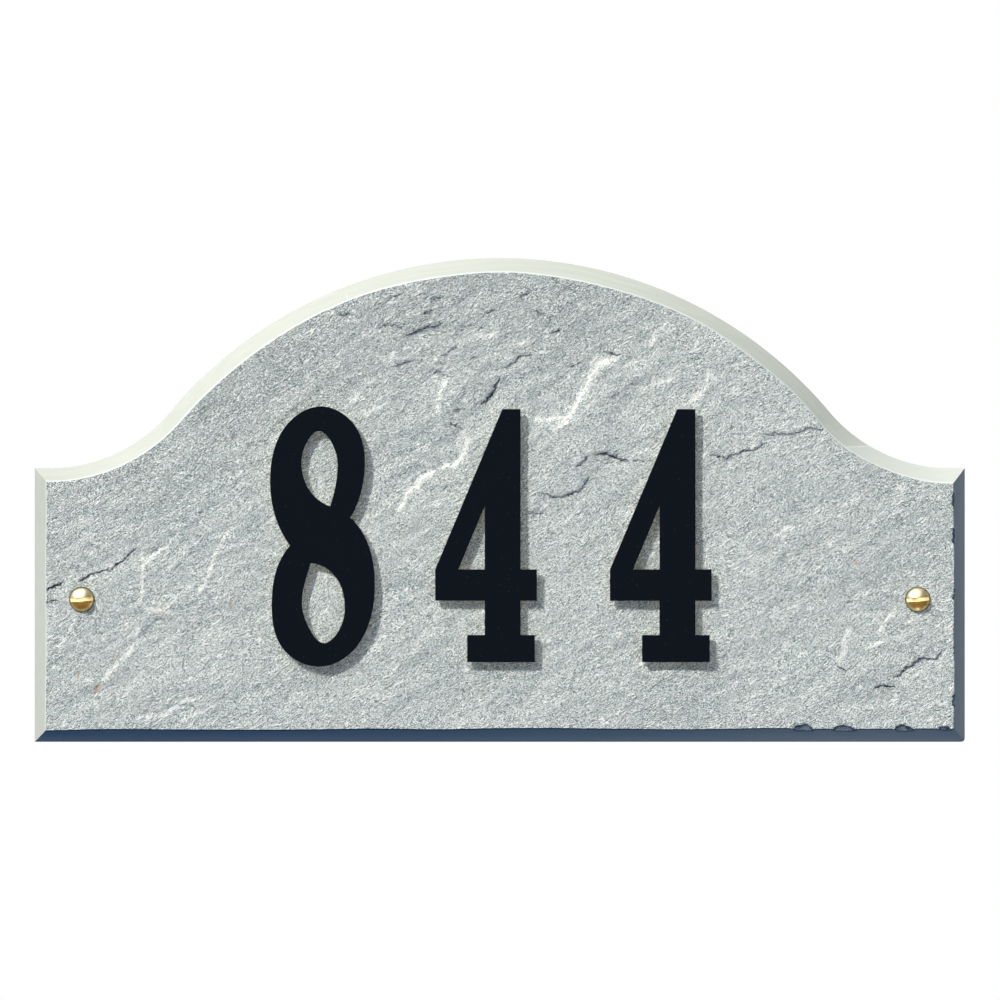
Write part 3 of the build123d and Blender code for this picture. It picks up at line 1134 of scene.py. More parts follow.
@dataclass(frozen=True)
class RivenRelief:
    """Depth of the riven face below the level that it never reaches, in millimetres."""

    outline: SlateOutline
    photo: PhotoFrame = PhotoFrame()
    grain_angle: float = 33.0
    relief: float = 0.55
    allowance: float = 0.1
    wave_across: float = 46.0
    wave_along: float = 118.0
    end_thinning: float = 0.45
    end_thinning_reach: float = 70.0
    bend_size: float = 26.0
    bend_reach: float = 5.0
    bed_length: float = 16.0
    bed_width: float = 5.5
    bed_height: float = 0.32
    ripple_length: float = 6.5
    ripple_width: float = 2.6
    ripple_height: float = 0.22
    long_wave: float = 0.2
    long_wave_bend: float = 0.8
    short_wave: float = 0.3
    short_wave_bend: float = 1.1
    wavers: Points = ((5.0, 0.6), (1.7, 0.8))
    line_end: float = 0.12
    run_out_power: float = 1.5
    faint_ridge: float = 0.32
    ridge_gain: float = 0.35
    faint_crack: float = 0.5
    wall_pull: float = 0.75
    wall_reach: float = 1.8
    line_reach: float = 3.0

    def along_across(self, x: np.ndarray, z: np.ndarray) -> tuple[np.ndarray, np.ndarray]:
        """Turn places on the face so that the first axis runs with the grain."""
        turn = math.radians(self.grain_angle)
        return x * math.cos(turn) + z * math.sin(turn), z * math.cos(turn) - x * math.sin(turn)

    def waves(self, x: np.ndarray, z: np.ndarray) -> np.ndarray:
        """Work out the gentle waves that the stone's solid has too, and its thinner left end.

        Args:
            x: Places across.
            z: Levels.

        Returns:
            The depth at each place.
        """
        along, across = (2 * math.pi * axis for axis in self.along_across(x, z))
        long_bend = self.long_wave_bend * np.sin(across / self.wave_along)
        short_bend = self.short_wave_bend * np.sin(along / self.wave_along)
        long_wave = 1 + np.sin(along / self.wave_along + long_bend)
        short_wave = 1 + np.sin(across / self.wave_across + short_bend)
        waves = self.long_wave * long_wave + self.short_wave * short_wave
        from_left = (x + self.outline.half_width) / self.end_thinning_reach
        return self.allowance + self.relief * waves + self.end_thinning * np.exp(-(from_left**2))

    def cleavage(self, x: np.ndarray, z: np.ndarray) -> np.ndarray:
        """Work out the uneven cleavage, above and below the waves.

        Args:
            x: Places across.
            z: Levels.

        Returns:
            The depth that it adds at each place.
        """
        bend = self.bend_reach * noise_field(x / self.bend_size, z / self.bend_size, NoiseLayer.BENDS)
        along, across = self.along_across(x + bend, z - bend)
        beds = noise_field(along / self.bed_length, across / self.bed_width, NoiseLayer.BEDS)
        ripples = noise_field(along / self.ripple_length, across / self.ripple_width, NoiseLayer.RIPPLES)
        return self.bed_height * beds + self.ripple_height * ripples

    def wavered(self, x: np.ndarray, z: np.ndarray) -> tuple[np.ndarray, np.ndarray]:
        """Shift places a little by noise, so that lines drawn through them waver.

        Args:
            x: Places across.
            z: Levels.

        Returns:
            The shifted places, across and up.
        """
        line_x = x
        line_z = z
        for size, reach in self.wavers:
            line_x = line_x + reach * noise_field(x / size, z / size, NoiseLayer.WAVER_ACROSS)
            line_z = line_z + reach * noise_field(x / size, z / size, NoiseLayer.WAVER_UP)
        return line_x, line_z

    def line_distance(
        self, x: np.ndarray, z: np.ndarray, line: np.ndarray, low_side: tuple[float, float]
    ) -> tuple[np.ndarray, np.ndarray, np.ndarray, np.ndarray]:
        """Measure places from a line of straight runs.

        Args:
            x: Places across.
            z: Levels.
            line: The line's points.
            low_side: A direction that points to the line's low side.

        Returns:
            The distance, positive on the low side; the share of the line's length passed at the
            nearest point; and the direction, across and up, to the low side there.
        """
        runs = np.diff(line, axis=0)
        lengths = np.hypot(runs[:, 0], runs[:, 1])
        passed = np.concatenate(([0], np.cumsum(lengths)))
        nearest = np.full(len(x), np.inf)
        signed = np.full(len(x), np.inf)
        share = np.zeros(len(x))
        low_x = np.zeros(len(x))
        low_z = np.zeros(len(x))
        for start, run, length, before in zip(line, runs, lengths, passed):
            normal = np.array((-run[1], run[0])) / length
            if normal @ np.array(low_side) < 0:
                normal = -normal
            off_x = x - start[0]
            off_z = z - start[1]
            part = np.clip((off_x * run[0] + off_z * run[1]) / length**2, 0, 1)
            far = np.hypot(off_x - part * run[0], off_z - part * run[1])
            side = off_x * normal[0] + off_z * normal[1]
            closer = far < nearest
            nearest = np.where(closer, far, nearest)
            signed = np.where(closer, np.copysign(far, side), signed)
            share = np.where(closer, (before + part * length) / passed[-1], share)
            low_x = np.where(closer, normal[0], low_x)
            low_z = np.where(closer, normal[1], low_z)
        return signed, share, low_x, low_z

    def steps(self) -> list[tuple]:
        """List the ledges and the chips alike.

        Returns:
            For each its line, the way to its low side, its form, its kind and its strength.
        """
        steps = []
        for ledge in (*RIDGES, *CRACKS, *SOFT_FALLS):
            line = self.photo.on_stone(ledge.marks)
            form = (ledge.height, ledge.reach, ledge.wall)
            if ledge.lip is Lip.LIT:
                strength = min(self.faint_ridge + self.ridge_gain * ledge.wall, 1)
                steps.append((line, ledge.lip.value, form, "ridge", strength))
            else:
                strength = min(self.faint_crack + ledge.height, 1) * ledge.gape
                steps.append((line, ledge.lip.value, form, "crack", strength))
        for chip in ARRIS_CHIPS:
            line = self.photo.on_stone(chip.marks)
            outward = tuple(line[0] + line[-1] - 2 * line[len(line) // 2])
            form = (chip.depth, chip.reach, chip.wall)
            steps.append((line, outward, form, "chip", 1.0))
        return steps

    def ledges(self, x: np.ndarray, z: np.ndarray) -> dict[str, np.ndarray]:
        """Work out every ledge and chip at these places.

        Args:
            x: Places across.
            z: Levels.

        Returns:
            The depth that they add; the shift across and up that steepens their walls; and, for
            cracks, ridges and chips, the strength of the nearest and the distance from it.
        """
        names = ("depth", "shift_x", "shift_z", "crack", "ridge", "chip")
        result = {name: np.zeros(len(x)) for name in names}
        for name in ("crack_at", "ridge_at", "chip_at"):
            result[name] = np.full(len(x), -self.line_reach)
        line_x, line_z = self.wavered(x, z)
        for line, low_side, (height, reach, wall), kind, strength in self.steps():
            low = line.min(axis=0) - reach
            high = line.max(axis=0) + reach
            near = np.nonzero((x > low[0]) & (x < high[0]) & (z > low[1]) & (z < high[1]))[0]
            if not len(near):
                continue
            signed, share, low_x, low_z = self.line_distance(line_x[near], line_z[near], line, low_side)
            ends = smooth_step(0, self.line_end, share) * smooth_step(1, 1 - self.line_end, share)
            step = smooth_step(-wall / 2, wall / 2, signed) if wall else (signed > 0).astype(float)
            run_out = np.clip(1 - np.maximum(signed, 0) / reach, 0, 1) ** self.run_out_power
            result["depth"][near] += height * ends * step * run_out
            closer = (np.abs(signed) < np.abs(result[kind + "_at"][near])) & (strength > 0)
            result[kind + "_at"][near] = np.where(closer, signed, result[kind + "_at"][near])
            result[kind][near] = np.where(closer, strength * ends, result[kind][near])
            if not wall:
                close = np.clip(1 - np.abs(signed) / self.wall_reach, 0, 1)
                pull = -signed * self.wall_pull * close * ends
                result["shift_x"][near] += np.where(close > 0, pull * low_x, 0)
                result["shift_z"][near] += np.where(close > 0, pull * low_z, 0)
        return result

    def depth(self, x: np.ndarray, z: np.ndarray) -> np.ndarray:
        """Depth of the finished face at these places."""
        return self.waves(x, z) + self.cleavage(x, z) + self.ledges(x, z)["depth"]


class SlateFinish(Enum):
    """The slate's material slots."""

    RIVEN = 0
    BEVEL = 1
    SAWN = 2


def extruded_ring(
    shape: BMesh, edges: list[BMEdge], finish: SlateFinish
) -> tuple[list[BMEdge], list[BMVert]]:
    """Extrude edges by nothing, so that their new vertices can be moved.

    Args:
        shape: The bmesh that has the edges.
        edges: The edges to extrude.
        finish: The finish of the new faces.

    Returns:
        The edges between new vertices, and those vertices.
    """
    made = bmesh.ops.extrude_edge_only(shape, edges=edges)["geom"]
    for face in (part for part in made if isinstance(part, BMFace)):
        face.material_index = finish.value
        face.smooth = True
    verts = [part for part in made if isinstance(part, BMVert)]
    fresh = set(verts)
    new_edges = [part for part in made if isinstance(part, BMEdge)]
    return [edge for edge in new_edges if edge.verts[0] in fresh and edge.verts[1] in fresh], verts


@dataclass
class SlatePlate:
    """The stone: riven face, ground bevel, sawn sides and back, and two holes for screws."""

    outline: SlateOutline
    relief: RivenRelief
    screw_x: float
    columns: int = 420
    rows: int = 196
    hole_radius: float = 3.0
    seat_radius: float = 7.0
    bevel_rings: tuple[float, ...] = (0.05, 0.12, 0.3, 0.45, 0.6, 0.75, 0.9, 0.97)
    bevel_hollow: float = 0.07
    arris_mark_width: float = 0.1
    edge_round: float = 0.15
    rim_calm: float = 8.0
    rim_roughness: float = 0.15
    bruise_length: float = 4.0
    bruise_from: float = -0.1
    bruise_to: float = 0.3
    hole_margin: float = 0.3
    no_join: float = -99.0
    grid_rim: float = 1e-6
    sharp_angle: float = 25.0
    marks: tuple[str, ...] = (
        "crack", "crack_at", "ridge", "ridge_at", "chip", "chip_at", "rust", "arris", "past_join"
    )
    finishes: tuple[object, ...] = field(
        default_factory=lambda: (
            RivenSlate(),
            GroundSlate(
                "ground_slate_bevel",
                stone="B9BCB2",
                line_colour="BFC2B7",
                line_spacing=0.9,
                line_stretch=6.0,
                line_height=0.006,
                roughness=0.6,
            ),
            GroundSlate(
                "sawn_slate",
                stone="9AA5A8",
                line_colour="A9B2B3",
                line_spacing=1.6,
                line_stretch=1.5,
                line_height=0.05,
                roughness=0.7,
            ),
        )
    )

    def build(self) -> Object:
        """Build the stone's mesh and dress it.

        Returns:
            The stone's object, riding on the plaque in place of its CAD node.
        """
        shape = bmesh.new()
        for name in ("arris_at", "edge_at"):
            shape.verts.layers.float_vector.new(name)
        for name in self.marks:
            shape.verts.layers.float.new(name)
        bmesh.ops.create_grid(shape, x_segments=self.columns, y_segments=self.rows, size=0.5)
        self.shape_face(shape)
        hole_edges = self.cut_holes(shape)
        rim = [edge for edge in shape.edges if edge.is_boundary and edge not in hole_edges]
        self.wrap_edge(shape, rim, hole_edges)
        for name in ("arris_at", "edge_at"):
            shape.verts.layers.float_vector.remove(shape.verts.layers.float_vector[name])
        stone = mesh_object("riven_slate_plate", shape, *(finish.material() for finish in self.finishes))
        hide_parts("slate_plate")
        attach(stone, BODY)
        return stone

    def shape_face(self, shape: BMesh) -> None:
        """Bend a flat grid of unit size to the riven face.

        Args:
            shape: The grid, with its layers.
        """
        outline = self.outline
        places = np.array([vert.co for vert in shape.verts])
        u = places[:, 0] - places[:, 0].min()
        v = places[:, 1] - places[:, 1].min()
        side_z = outline.bottom + outline.bevel + v * (outline.shoulder_height - 2 * outline.bevel)
        side_x = np.full(len(u), outline.half_width - outline.bevel)
        right = outline.half_width - self.inset(outline.bevel_right, side_x, side_z)
        left = self.inset(outline.bevel_left, -side_x, side_z) - outline.half_width
        x = left + u * (right - left)
        low_z = np.full(len(u), outline.bottom + outline.bevel)
        low = outline.bottom + self.inset(outline.bevel_bottom, x, low_z)
        inset = self.inset(outline.bevel_top, x, outline.top(x, outline.bevel))
        z = low + v * (outline.top(x, inset) - low)

        ledges = self.relief.ledges(x, z)
        at_left = u < self.grid_rim
        at_right = u > 1 - self.grid_rim
        at_bottom = v < self.grid_rim
        at_top = v > 1 - self.grid_rim
        inside = ~(at_left | at_right | at_bottom | at_top)
        from_screw = np.hypot(np.abs(x) - self.screw_x, z)
        tall = outline.top(x, inset) - low
        from_rim = np.minimum(np.minimum(u, 1 - u) * (right - left), np.minimum(v, 1 - v) * tall)
        calm = self.rim_roughness
        rough = calm + (1 - calm) * smooth_step(0, self.rim_calm, from_rim)
        rough = rough * smooth_step(self.hole_radius, self.seat_radius, from_screw)
        x = x + np.where(inside, ledges["shift_x"], 0)
        z = z + np.where(inside, ledges["shift_z"], 0)
        waves = self.relief.waves(x, z)
        depth = waves + ledges["depth"] + rough * self.relief.cleavage(x, z)

        arris_at = shape.verts.layers.float_vector["arris_at"]
        edge_at = shape.verts.layers.float_vector["edge_at"]
        bruises = noise_field(x, z / self.bruise_length, NoiseLayer.BRUISES)
        # Painted highlight along the top and left arris, bruises at random along the right, painted shade
        # under the bottom arris
        arris = (at_top | at_left).astype(float)
        arris = np.where(at_right, smooth_step(self.bruise_from, self.bruise_to, bruises), arris)
        values_of = {
            **ledges,
            "rust": self.rust(x, z),
            "arris": np.where(at_bottom, -1.0, arris),
            "past_join": np.where(at_top, 0.0, self.no_join),
        }
        layers = [(shape.verts.layers.float[name], values_of[name]) for name in self.marks]
        for index, vert in enumerate(shape.verts):
            across, up, deep = x[index], z[index], depth[index]
            if not inside[index]:
                edge = self.edge_point(u[index], v[index], across, up, (left[index], right[index]))
                scale = (outline.bevel - deep) / (outline.bevel - waves[index])
                across = edge[0] + (across - edge[0]) * scale
                up = edge[1] + (up - edge[1]) * scale
                worn = outline.worn(*edge)
                vert[edge_at] = (worn[0] * MM, (outline.bevel - outline.thickness) * MM, worn[1] * MM)
            vert.co = (across * MM, (deep - outline.thickness) * MM, up * MM)
            vert[arris_at] = vert.co
            for layer, values in layers:
                vert[layer] = values[index]
        for face in shape.faces:
            face.smooth = True

    def rust(self, x: np.ndarray, z: np.ndarray) -> np.ndarray:
        """Work out the rust marks.

        Args:
            x: Places across.
            z: Levels.

        Returns:
            How rusty each place is, from 0 to 1.
        """
        rust = np.zeros(len(x))
        for column, row, size, share in RUST_MARKS:
            (mark_x, mark_z), = self.relief.photo.on_stone(((column, row),))
            rust = np.maximum(rust, share * np.exp(-(((x - mark_x) ** 2 + (z - mark_z) ** 2) / size**2)))
        return rust

    def inset(self, run: float, x: np.ndarray, z: np.ndarray) -> np.ndarray:
        """How far inside the outline a bevel meets the face.

        Args:
            run: The bevel's run where the face is at its full height.
            x: Places near the arris.
            z: Their levels.

        Returns:
            The insets, less where the face lies deeper.
        """
        return run * (1 - self.relief.waves(x, z) / self.outline.bevel)

    def past_join(self, place: Vector) -> float:
        """How far a place on the top bevel lies beyond the nearer join of two grinding passes.

        Args:
            place: The place, in metres.

        Returns:
            Millimetres, positive only past the right join, where the bevel is drawn paler.
        """
        on_left = place.x < 0
        start, end = self.relief.photo.on_stone(BEVEL_JOINS[0 if on_left else 1])
        run = end - start
        off = np.array((place.x, place.z)) / MM - start
        far = float(run[0] * off[1] - run[1] * off[0]) / math.hypot(*run)
        return -abs(far) if on_left else far

    def edge_point(
        self, u: float, v: float, x: float, z: float, sides: tuple[float, float]
    ) -> tuple[float, float]:
        """The outline point that a point of the arris is bevelled to.

        Args:
            u: The arris point's share of the way across the grid.
            v: Its share of the way up.
            x: Its place across, in millimetres.
            z: Its level.
            sides: Where the left and the right arris are at that level.

        Returns:
            The outline point, across and up.
        """
        outline = self.outline
        reach = sides[1] if x > 0 else -sides[0]
        if v > 1 - self.grid_rim:
            return outline.top_edge(x, z, reach)
        if v < self.grid_rim:
            return x * outline.half_width / reach, outline.bottom
        side = outline.half_width if u > 0.5 else -outline.half_width
        return side, outline.bottom + v * outline.shoulder_height

    def cut_holes(self, shape: BMesh) -> list[BMEdge]:
        """Open the two screw holes in the face.

        Args:
            shape: The face.

        Returns:
            The edges round the holes.
        """
        hole_edges = []
        for x in (-self.screw_x, self.screw_x):
            centre = Vector((x * MM, 0, 0))

            def from_axis(vert: BMVert) -> float:
                """Distance of a vertex from the hole's axis."""
                return math.hypot(vert.co.x - centre.x, vert.co.z) / MM

            reach = self.hole_radius + self.hole_margin
            waste = [face for face in shape.faces if all(from_axis(vert) < reach for vert in face.verts)]
            bmesh.ops.delete(shape, geom=waste, context="FACES")
            rim = [
                edge
                for edge in shape.edges
                if edge.is_boundary and from_axis(edge.verts[0]) < 2 * self.hole_radius
            ]
            for vert in {vert for edge in rim for vert in edge.verts}:
                out = Vector((vert.co.x - centre.x, 0, vert.co.z)).normalized() * self.hole_radius * MM
                vert.co = (centre.x + out.x, vert.co.y, out.z)
            hole_edges += rim
        return hole_edges

    def wrap_edge(self, shape: BMesh, rim: list[BMEdge], hole_edges: list[BMEdge]) -> None:
        """Extrude the bevel and the sides from the arris, line the holes and close the back.

        Args:
            shape: The face with its holes.
            rim: The edges of the arris.
            hole_edges: The edges round the holes.
        """
        arris_at = shape.verts.layers.float_vector["arris_at"]
        edge_at = shape.verts.layers.float_vector["edge_at"]
        bruise_and_highlight = shape.verts.layers.float["arris"]
        join = shape.verts.layers.float["past_join"]
        back = 0.0
        round_off = Vector((0, self.edge_round * MM, 0))
        for vert in {vert for edge in rim for vert in edge.verts}:
            if vert[join] > self.no_join:
                vert[join] = self.past_join(vert.co)
        for share in self.bevel_rings:
            rim, verts = extruded_ring(shape, rim, SlateFinish.BEVEL)
            hollow = 4 * self.bevel_hollow * share * (1 - share) * MM
            for vert in verts:
                slope = vert[edge_at] - vert[arris_at]
                level = Vector((slope.x, 0, slope.z))
                outward = Vector((0, -level.length, 0)) + level.normalized() * slope.y
                vert.co = vert[arris_at].lerp(vert[edge_at], share) - outward.normalized() * hollow
                if share > self.arris_mark_width:
                    vert[bruise_and_highlight] = 0.0
                if vert[join] > self.no_join:
                    vert[join] = self.past_join(vert.co)
        rim, verts = extruded_ring(shape, rim, SlateFinish.BEVEL)
        for vert in verts:
            vert.co = vert[edge_at] + round_off
        rim, verts = extruded_ring(shape, rim, SlateFinish.SAWN)
        for vert in verts:
            vert.co.y = back
            vert[join] = self.no_join
        lining, verts = extruded_ring(shape, hole_edges, SlateFinish.SAWN)
        for vert in verts:
            vert.co.y = back
        filled = bmesh.ops.triangle_fill(shape, edges=rim + lining, use_beauty=True)["geom"]
        for face in (part for part in filled if isinstance(part, BMFace)):
            face.material_index = SlateFinish.SAWN.value
            face.smooth = True
        bmesh.ops.recalc_face_normals(shape, faces=shape.faces)
        for edge in shape.edges:
            finishes = {face.material_index for face in edge.link_faces}
            ground = finishes != {SlateFinish.RIVEN.value}
            meets_saw = len(finishes) > 1 and SlateFinish.SAWN.value in finishes
            if meets_saw or (ground and edge.calc_face_angle(0.0) > math.radians(self.sharp_angle)):
                edge.smooth = False


# Numerals and their tape


@dataclass
class Numeral:
    """A numeral cut from sheet: the CAD outline with its cut edges eased."""

    node: str
    name: str
    finish: Material
    edge_round: float = 0.18
    edge_angle: float = 50.0

    def build(self) -> Object:
        """Build the numeral from a merged copy of its CAD node.

        Returns:
            The numeral's object, riding on the plaque in place of the node.
        """
        shape = merged_node(self.node)
        bmesh.ops.dissolve_limit(shape, angle_limit=FLAT_ANGLE, verts=shape.verts, edges=shape.edges)
        corners = [
            edge
            for edge in shape.edges
            if len(edge.link_faces) == 2 and edge.calc_face_angle() > math.radians(self.edge_angle)
        ]
        flat = [edge for edge in corners if abs(edge.verts[0].co.y - edge.verts[1].co.y) < LEVEL]
        ease_edges(shape, flat, self.edge_round * MM)
        for face in shape.faces:
            face.smooth = False
            face.material_index = 0
        piece = mesh_object(self.name, shape, self.finish)
        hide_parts(self.node)
        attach(piece, BODY)
        return piece


@dataclass
class FoamTape:
    """Foam strips behind one numeral, squeezed so that their sides bulge, pressed to the stone."""

    node: str
    name: str
    finish: Material
    relief: RivenRelief
    bulge: float = 0.3
    sink: float = 0.06
    cuts_along: float = 2.0
    corner_angle: float = 150.0
    cross_cuts: int = 3
    parallel: float = 0.9
    side_from: float = 0.49

    def strips(self) -> list[list[Vector]]:
        """Find the corners of each strip's front, in order round it.

        Returns:
            Four corners for each strip.
        """
        shape = merged_node(self.node)
        front = min(vert.co.y for vert in shape.verts)
        behind = [vert for vert in shape.verts if vert.co.y - front > LEVEL]
        bmesh.ops.delete(shape, geom=behind, context="VERTS")
        bmesh.ops.dissolve_limit(shape, angle_limit=FLAT_ANGLE, verts=shape.verts, edges=shape.edges)
        sharpest = math.radians(self.corner_angle)
        found = [
            [loop.vert.co.copy() for loop in face.loops if loop.calc_angle() < sharpest]
            for face in shape.faces
        ]
        shape.free()
        return found

    def build(self) -> Object:
        """Build every strip and dress them.

        Returns:
            The tape's object, riding on the plaque in place of its CAD node.
        """
        shape = bmesh.new()
        for corners in self.strips():
            strip = self.pressed_strip(corners)
            mesh = bpy.data.meshes.new("foam_strip")
            strip.to_mesh(mesh)
            strip.free()
            shape.from_mesh(mesh)
            bpy.data.meshes.remove(mesh)
        for face in shape.faces:
            face.smooth = True
        piece = mesh_object(self.name, shape, self.finish)
        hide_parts(self.node)
        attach(piece, BODY)
        return piece

    def pressed_strip(self, corners: list[Vector]) -> BMesh:
        """Make one strip between a numeral's back and the stone.

        Args:
            corners: The four corners of its front.

        Returns:
            The strip, in its place.
        """
        sides = [corners[1] - corners[0], corners[2] - corners[1]]
        sides.sort(key=lambda side: side.length)
        width, length = sides
        middle = sum(corners, Vector()) / len(corners)
        strip = bmesh.new()
        bmesh.ops.create_cube(strip, size=1.0)
        cuts = int(length.length / MM / self.cuts_along)
        for axis, count in ((0, cuts), (1, self.cross_cuts), (2, self.cross_cuts)):
            along = [
                edge
                for edge in strip.edges
                if abs((edge.verts[0].co - edge.verts[1].co).normalized()[axis]) > self.parallel
            ]
            bmesh.ops.subdivide_edges(strip, edges=along, cuts=count, use_grid_fill=True)
        local = np.array([vert.co for vert in strip.verts])
        thick = local[:, 1] + 0.5
        waist = 4 * thick * (1 - thick)
        plan = np.array(middle)[None, :]
        bulge = (waist * self.bulge * MM)[:, None]
        for shares, way in ((local[:, :1], length), (local[:, 2:], width)):
            outward = np.where(np.abs(shares) > self.side_from, np.sign(shares), 0)
            plan = plan + shares * np.array(way) + outward * np.array(way.normalized()) * bulge
        stone = self.relief.depth(plan[:, 0] / MM, plan[:, 2] / MM) - self.relief.outline.thickness
        foot = (stone + self.sink) * MM
        for vert, place, share, low in zip(strip.verts, plan, thick, foot):
            vert.co = (place[0], middle.y + share * (low - middle.y), place[2])
        bmesh.ops.recalc_face_normals(strip, faces=strip.faces)
        return strip


# Screws


@dataclass
class WoodScrew:
    """A slotted round-head wood screw, with its thread, at one end of the plate."""

    name: str
    side: int
    finish: Material
    head_radius: float = 5.1
    head_height: float = 3.8
    head_rim: float = 0.5
    shank_radius: float = 2.75
    shank_length: float = 15.0
    core_radius: float = 1.9
    point_length: float = 7.0
    tip_radius: float = 0.3
    slot_width: float = 1.4
    slot_depth: float = 2.3
    slot_angle: float = 4.5
    slot_round: float = 0.15
    lip_angle: float = 35.0
    slot_margin: float = 0.4
    slot_skin: float = 0.1
    rim_shade_width: float = 0.75
    thread_pitch: float = 2.3
    thread_base: float = 1.0
    thread_sink: float = 0.2
    thread_fade: float = 1.6
    least_radius: float = 0.05
    shank_taper: float = 0.6
    turn_steps: int = 64
    thread_steps: int = 24
    dome_steps: int = 14

    @property
    def dome_radius(self) -> float:
        """Radius of the sphere that the head's dome is part of."""
        dome = self.head_height - self.head_rim
        return (self.head_radius**2 + dome**2) / (2 * dome)

    def place(self) -> tuple[float, float, float]:
        """Find the screw in the frame.

        Returns:
            Its axis's place across, and the levels along +Y of its crest and its tip, in millimetres.
        """
        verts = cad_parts["mounting_screws"].data.vertices
        own = np.array([vert.co for vert in verts if vert.co.x * self.side > 0]) / MM
        return (own[:, 0].min() + own[:, 0].max()) / 2, own[:, 1].min(), own[:, 1].max()

    def build(self) -> Object:
        """Build the screw and dress it.

        Returns:
            The screw's object, riding on the plaque in place of its CAD node.
        """
        x, crest, tip = self.place()
        shape = self.turned(crest, tip)
        shape = self.slotted(shape, crest)
        # Painted shade round the head's rim, darkest at its edge
        rim_shading = shape.verts.layers.float.new("painted_rim_shade")
        unshaded_radius = self.head_radius - self.rim_shade_width
        for vert in shape.verts:
            out = math.hypot(vert.co.x, vert.co.z)
            vert[rim_shading] = float(np.clip((out - unshaded_radius) / self.rim_shade_width, 0, 1))
        self.mark_slot(shape, crest)
        self.add_thread(shape, crest + self.head_height, tip)
        bmesh.ops.translate(shape, verts=shape.verts, vec=(x, 0, 0))
        bmesh.ops.scale(shape, verts=shape.verts, vec=(MM, MM, MM))
        screw = mesh_object(self.name, shape, self.finish)
        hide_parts("mounting_screws")
        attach(screw, BODY)
        return screw

    def turned(self, crest: float, tip: float) -> BMesh:
        """Turn the head, shank, core and point about the screw's axis.

        Args:
            crest: Level of the head's crest along +Y.
            tip: Level of the point's end.

        Returns:
            The turned shape, in millimetres, on the Y axis.
        """
        radius = self.dome_radius
        sweep = math.asin(self.head_radius / radius)
        seat = crest + self.head_height
        profile = []
        for step in range(self.dome_steps + 1):
            angle = sweep * step / self.dome_steps
            profile.append((radius * math.sin(angle), crest + radius * (1 - math.cos(angle))))
        profile += [
            (self.head_radius, seat),
            (self.shank_radius, seat),
            (self.shank_radius, seat + self.shank_length),
            (self.core_radius, seat + self.shank_length + self.shank_taper),
            (self.core_radius, tip - self.point_length),
            (self.tip_radius, tip),
            (0.0, tip),
        ]
        shape = bmesh.new()
        verts = [shape.verts.new((r, y, 0)) for r, y in profile]
        edges = [shape.edges.new(pair) for pair in zip(verts, verts[1:])]
        bmesh.ops.spin(
            shape,
            geom=verts + edges,
            cent=(0, 0, 0),
            axis=(0, 1, 0),
            angle=2 * math.pi,
            steps=self.turn_steps,
            use_merge=True,
        )
        bmesh.ops.remove_doubles(shape, verts=shape.verts, dist=MERGE / MM)
        bmesh.ops.recalc_face_normals(shape, faces=shape.faces)
        for face in shape.faces:
            face.smooth = True
        return shape

    def slotted(self, shape: BMesh, crest: float) -> BMesh:
        """Cut the driver slot and ease its edges.

        Args:
            shape: The turned screw, which is freed.
            crest: Level of the head's crest.

        Returns:
            The slotted screw.
        """
        blank = mesh_object("screw_blank", shape)
        saw = bmesh.new()
        bmesh.ops.create_cube(saw, size=1.0)
        size = (4 * self.head_radius, 2 * self.slot_depth, self.slot_width)
        bmesh.ops.scale(saw, verts=saw.verts, vec=size)
        turn = Matrix.Rotation(-math.radians(self.slot_angle), 3, "Y")
        bmesh.ops.rotate(saw, verts=saw.verts, cent=(0, 0, 0), matrix=turn)
        bmesh.ops.translate(saw, verts=saw.verts, vec=(0, crest, 0))
        cutter = mesh_object("slot_saw", saw)
        cut = blank.modifiers.new("slot", "BOOLEAN")
        cut.object = cutter
        cut.operation = "DIFFERENCE"
        cut.solver = "EXACT"
        graph = bpy.context.evaluated_depsgraph_get()
        result = bmesh.new()
        result.from_object(blank, graph)
        for spare in (blank, cutter):
            mesh = spare.data
            bpy.data.objects.remove(spare)
            bpy.data.meshes.remove(mesh)
        floor = crest + self.slot_depth
        lips = [
            edge
            for edge in result.edges
            if len(edge.link_faces) == 2
            and edge.calc_face_angle() > math.radians(self.lip_angle)
            and all(vert.co.y < floor + LEVEL / MM for vert in edge.verts)
        ]
        ease_edges(result, lips, self.slot_round)
        return result

    def mark_slot(self, shape: BMesh, crest: float) -> None:
        """Mark the slot's faces, which are sawn and not turned.

        Args:
            shape: The slotted screw, in millimetres, on the Y axis.
            crest: Level of the head's crest.
        """
        sawn = shape.verts.layers.float.new("sawn")
        radius = self.dome_radius
        deepest = crest + self.slot_depth + self.slot_margin
        for vert in shape.verts:
            below = radius - (vert.co - Vector((0, crest + radius, 0))).length
            in_slot = vert.co.y < deepest and abs(vert.co.z) < self.slot_width
            vert[sawn] = 1.0 if below > self.slot_skin and in_slot else 0.0

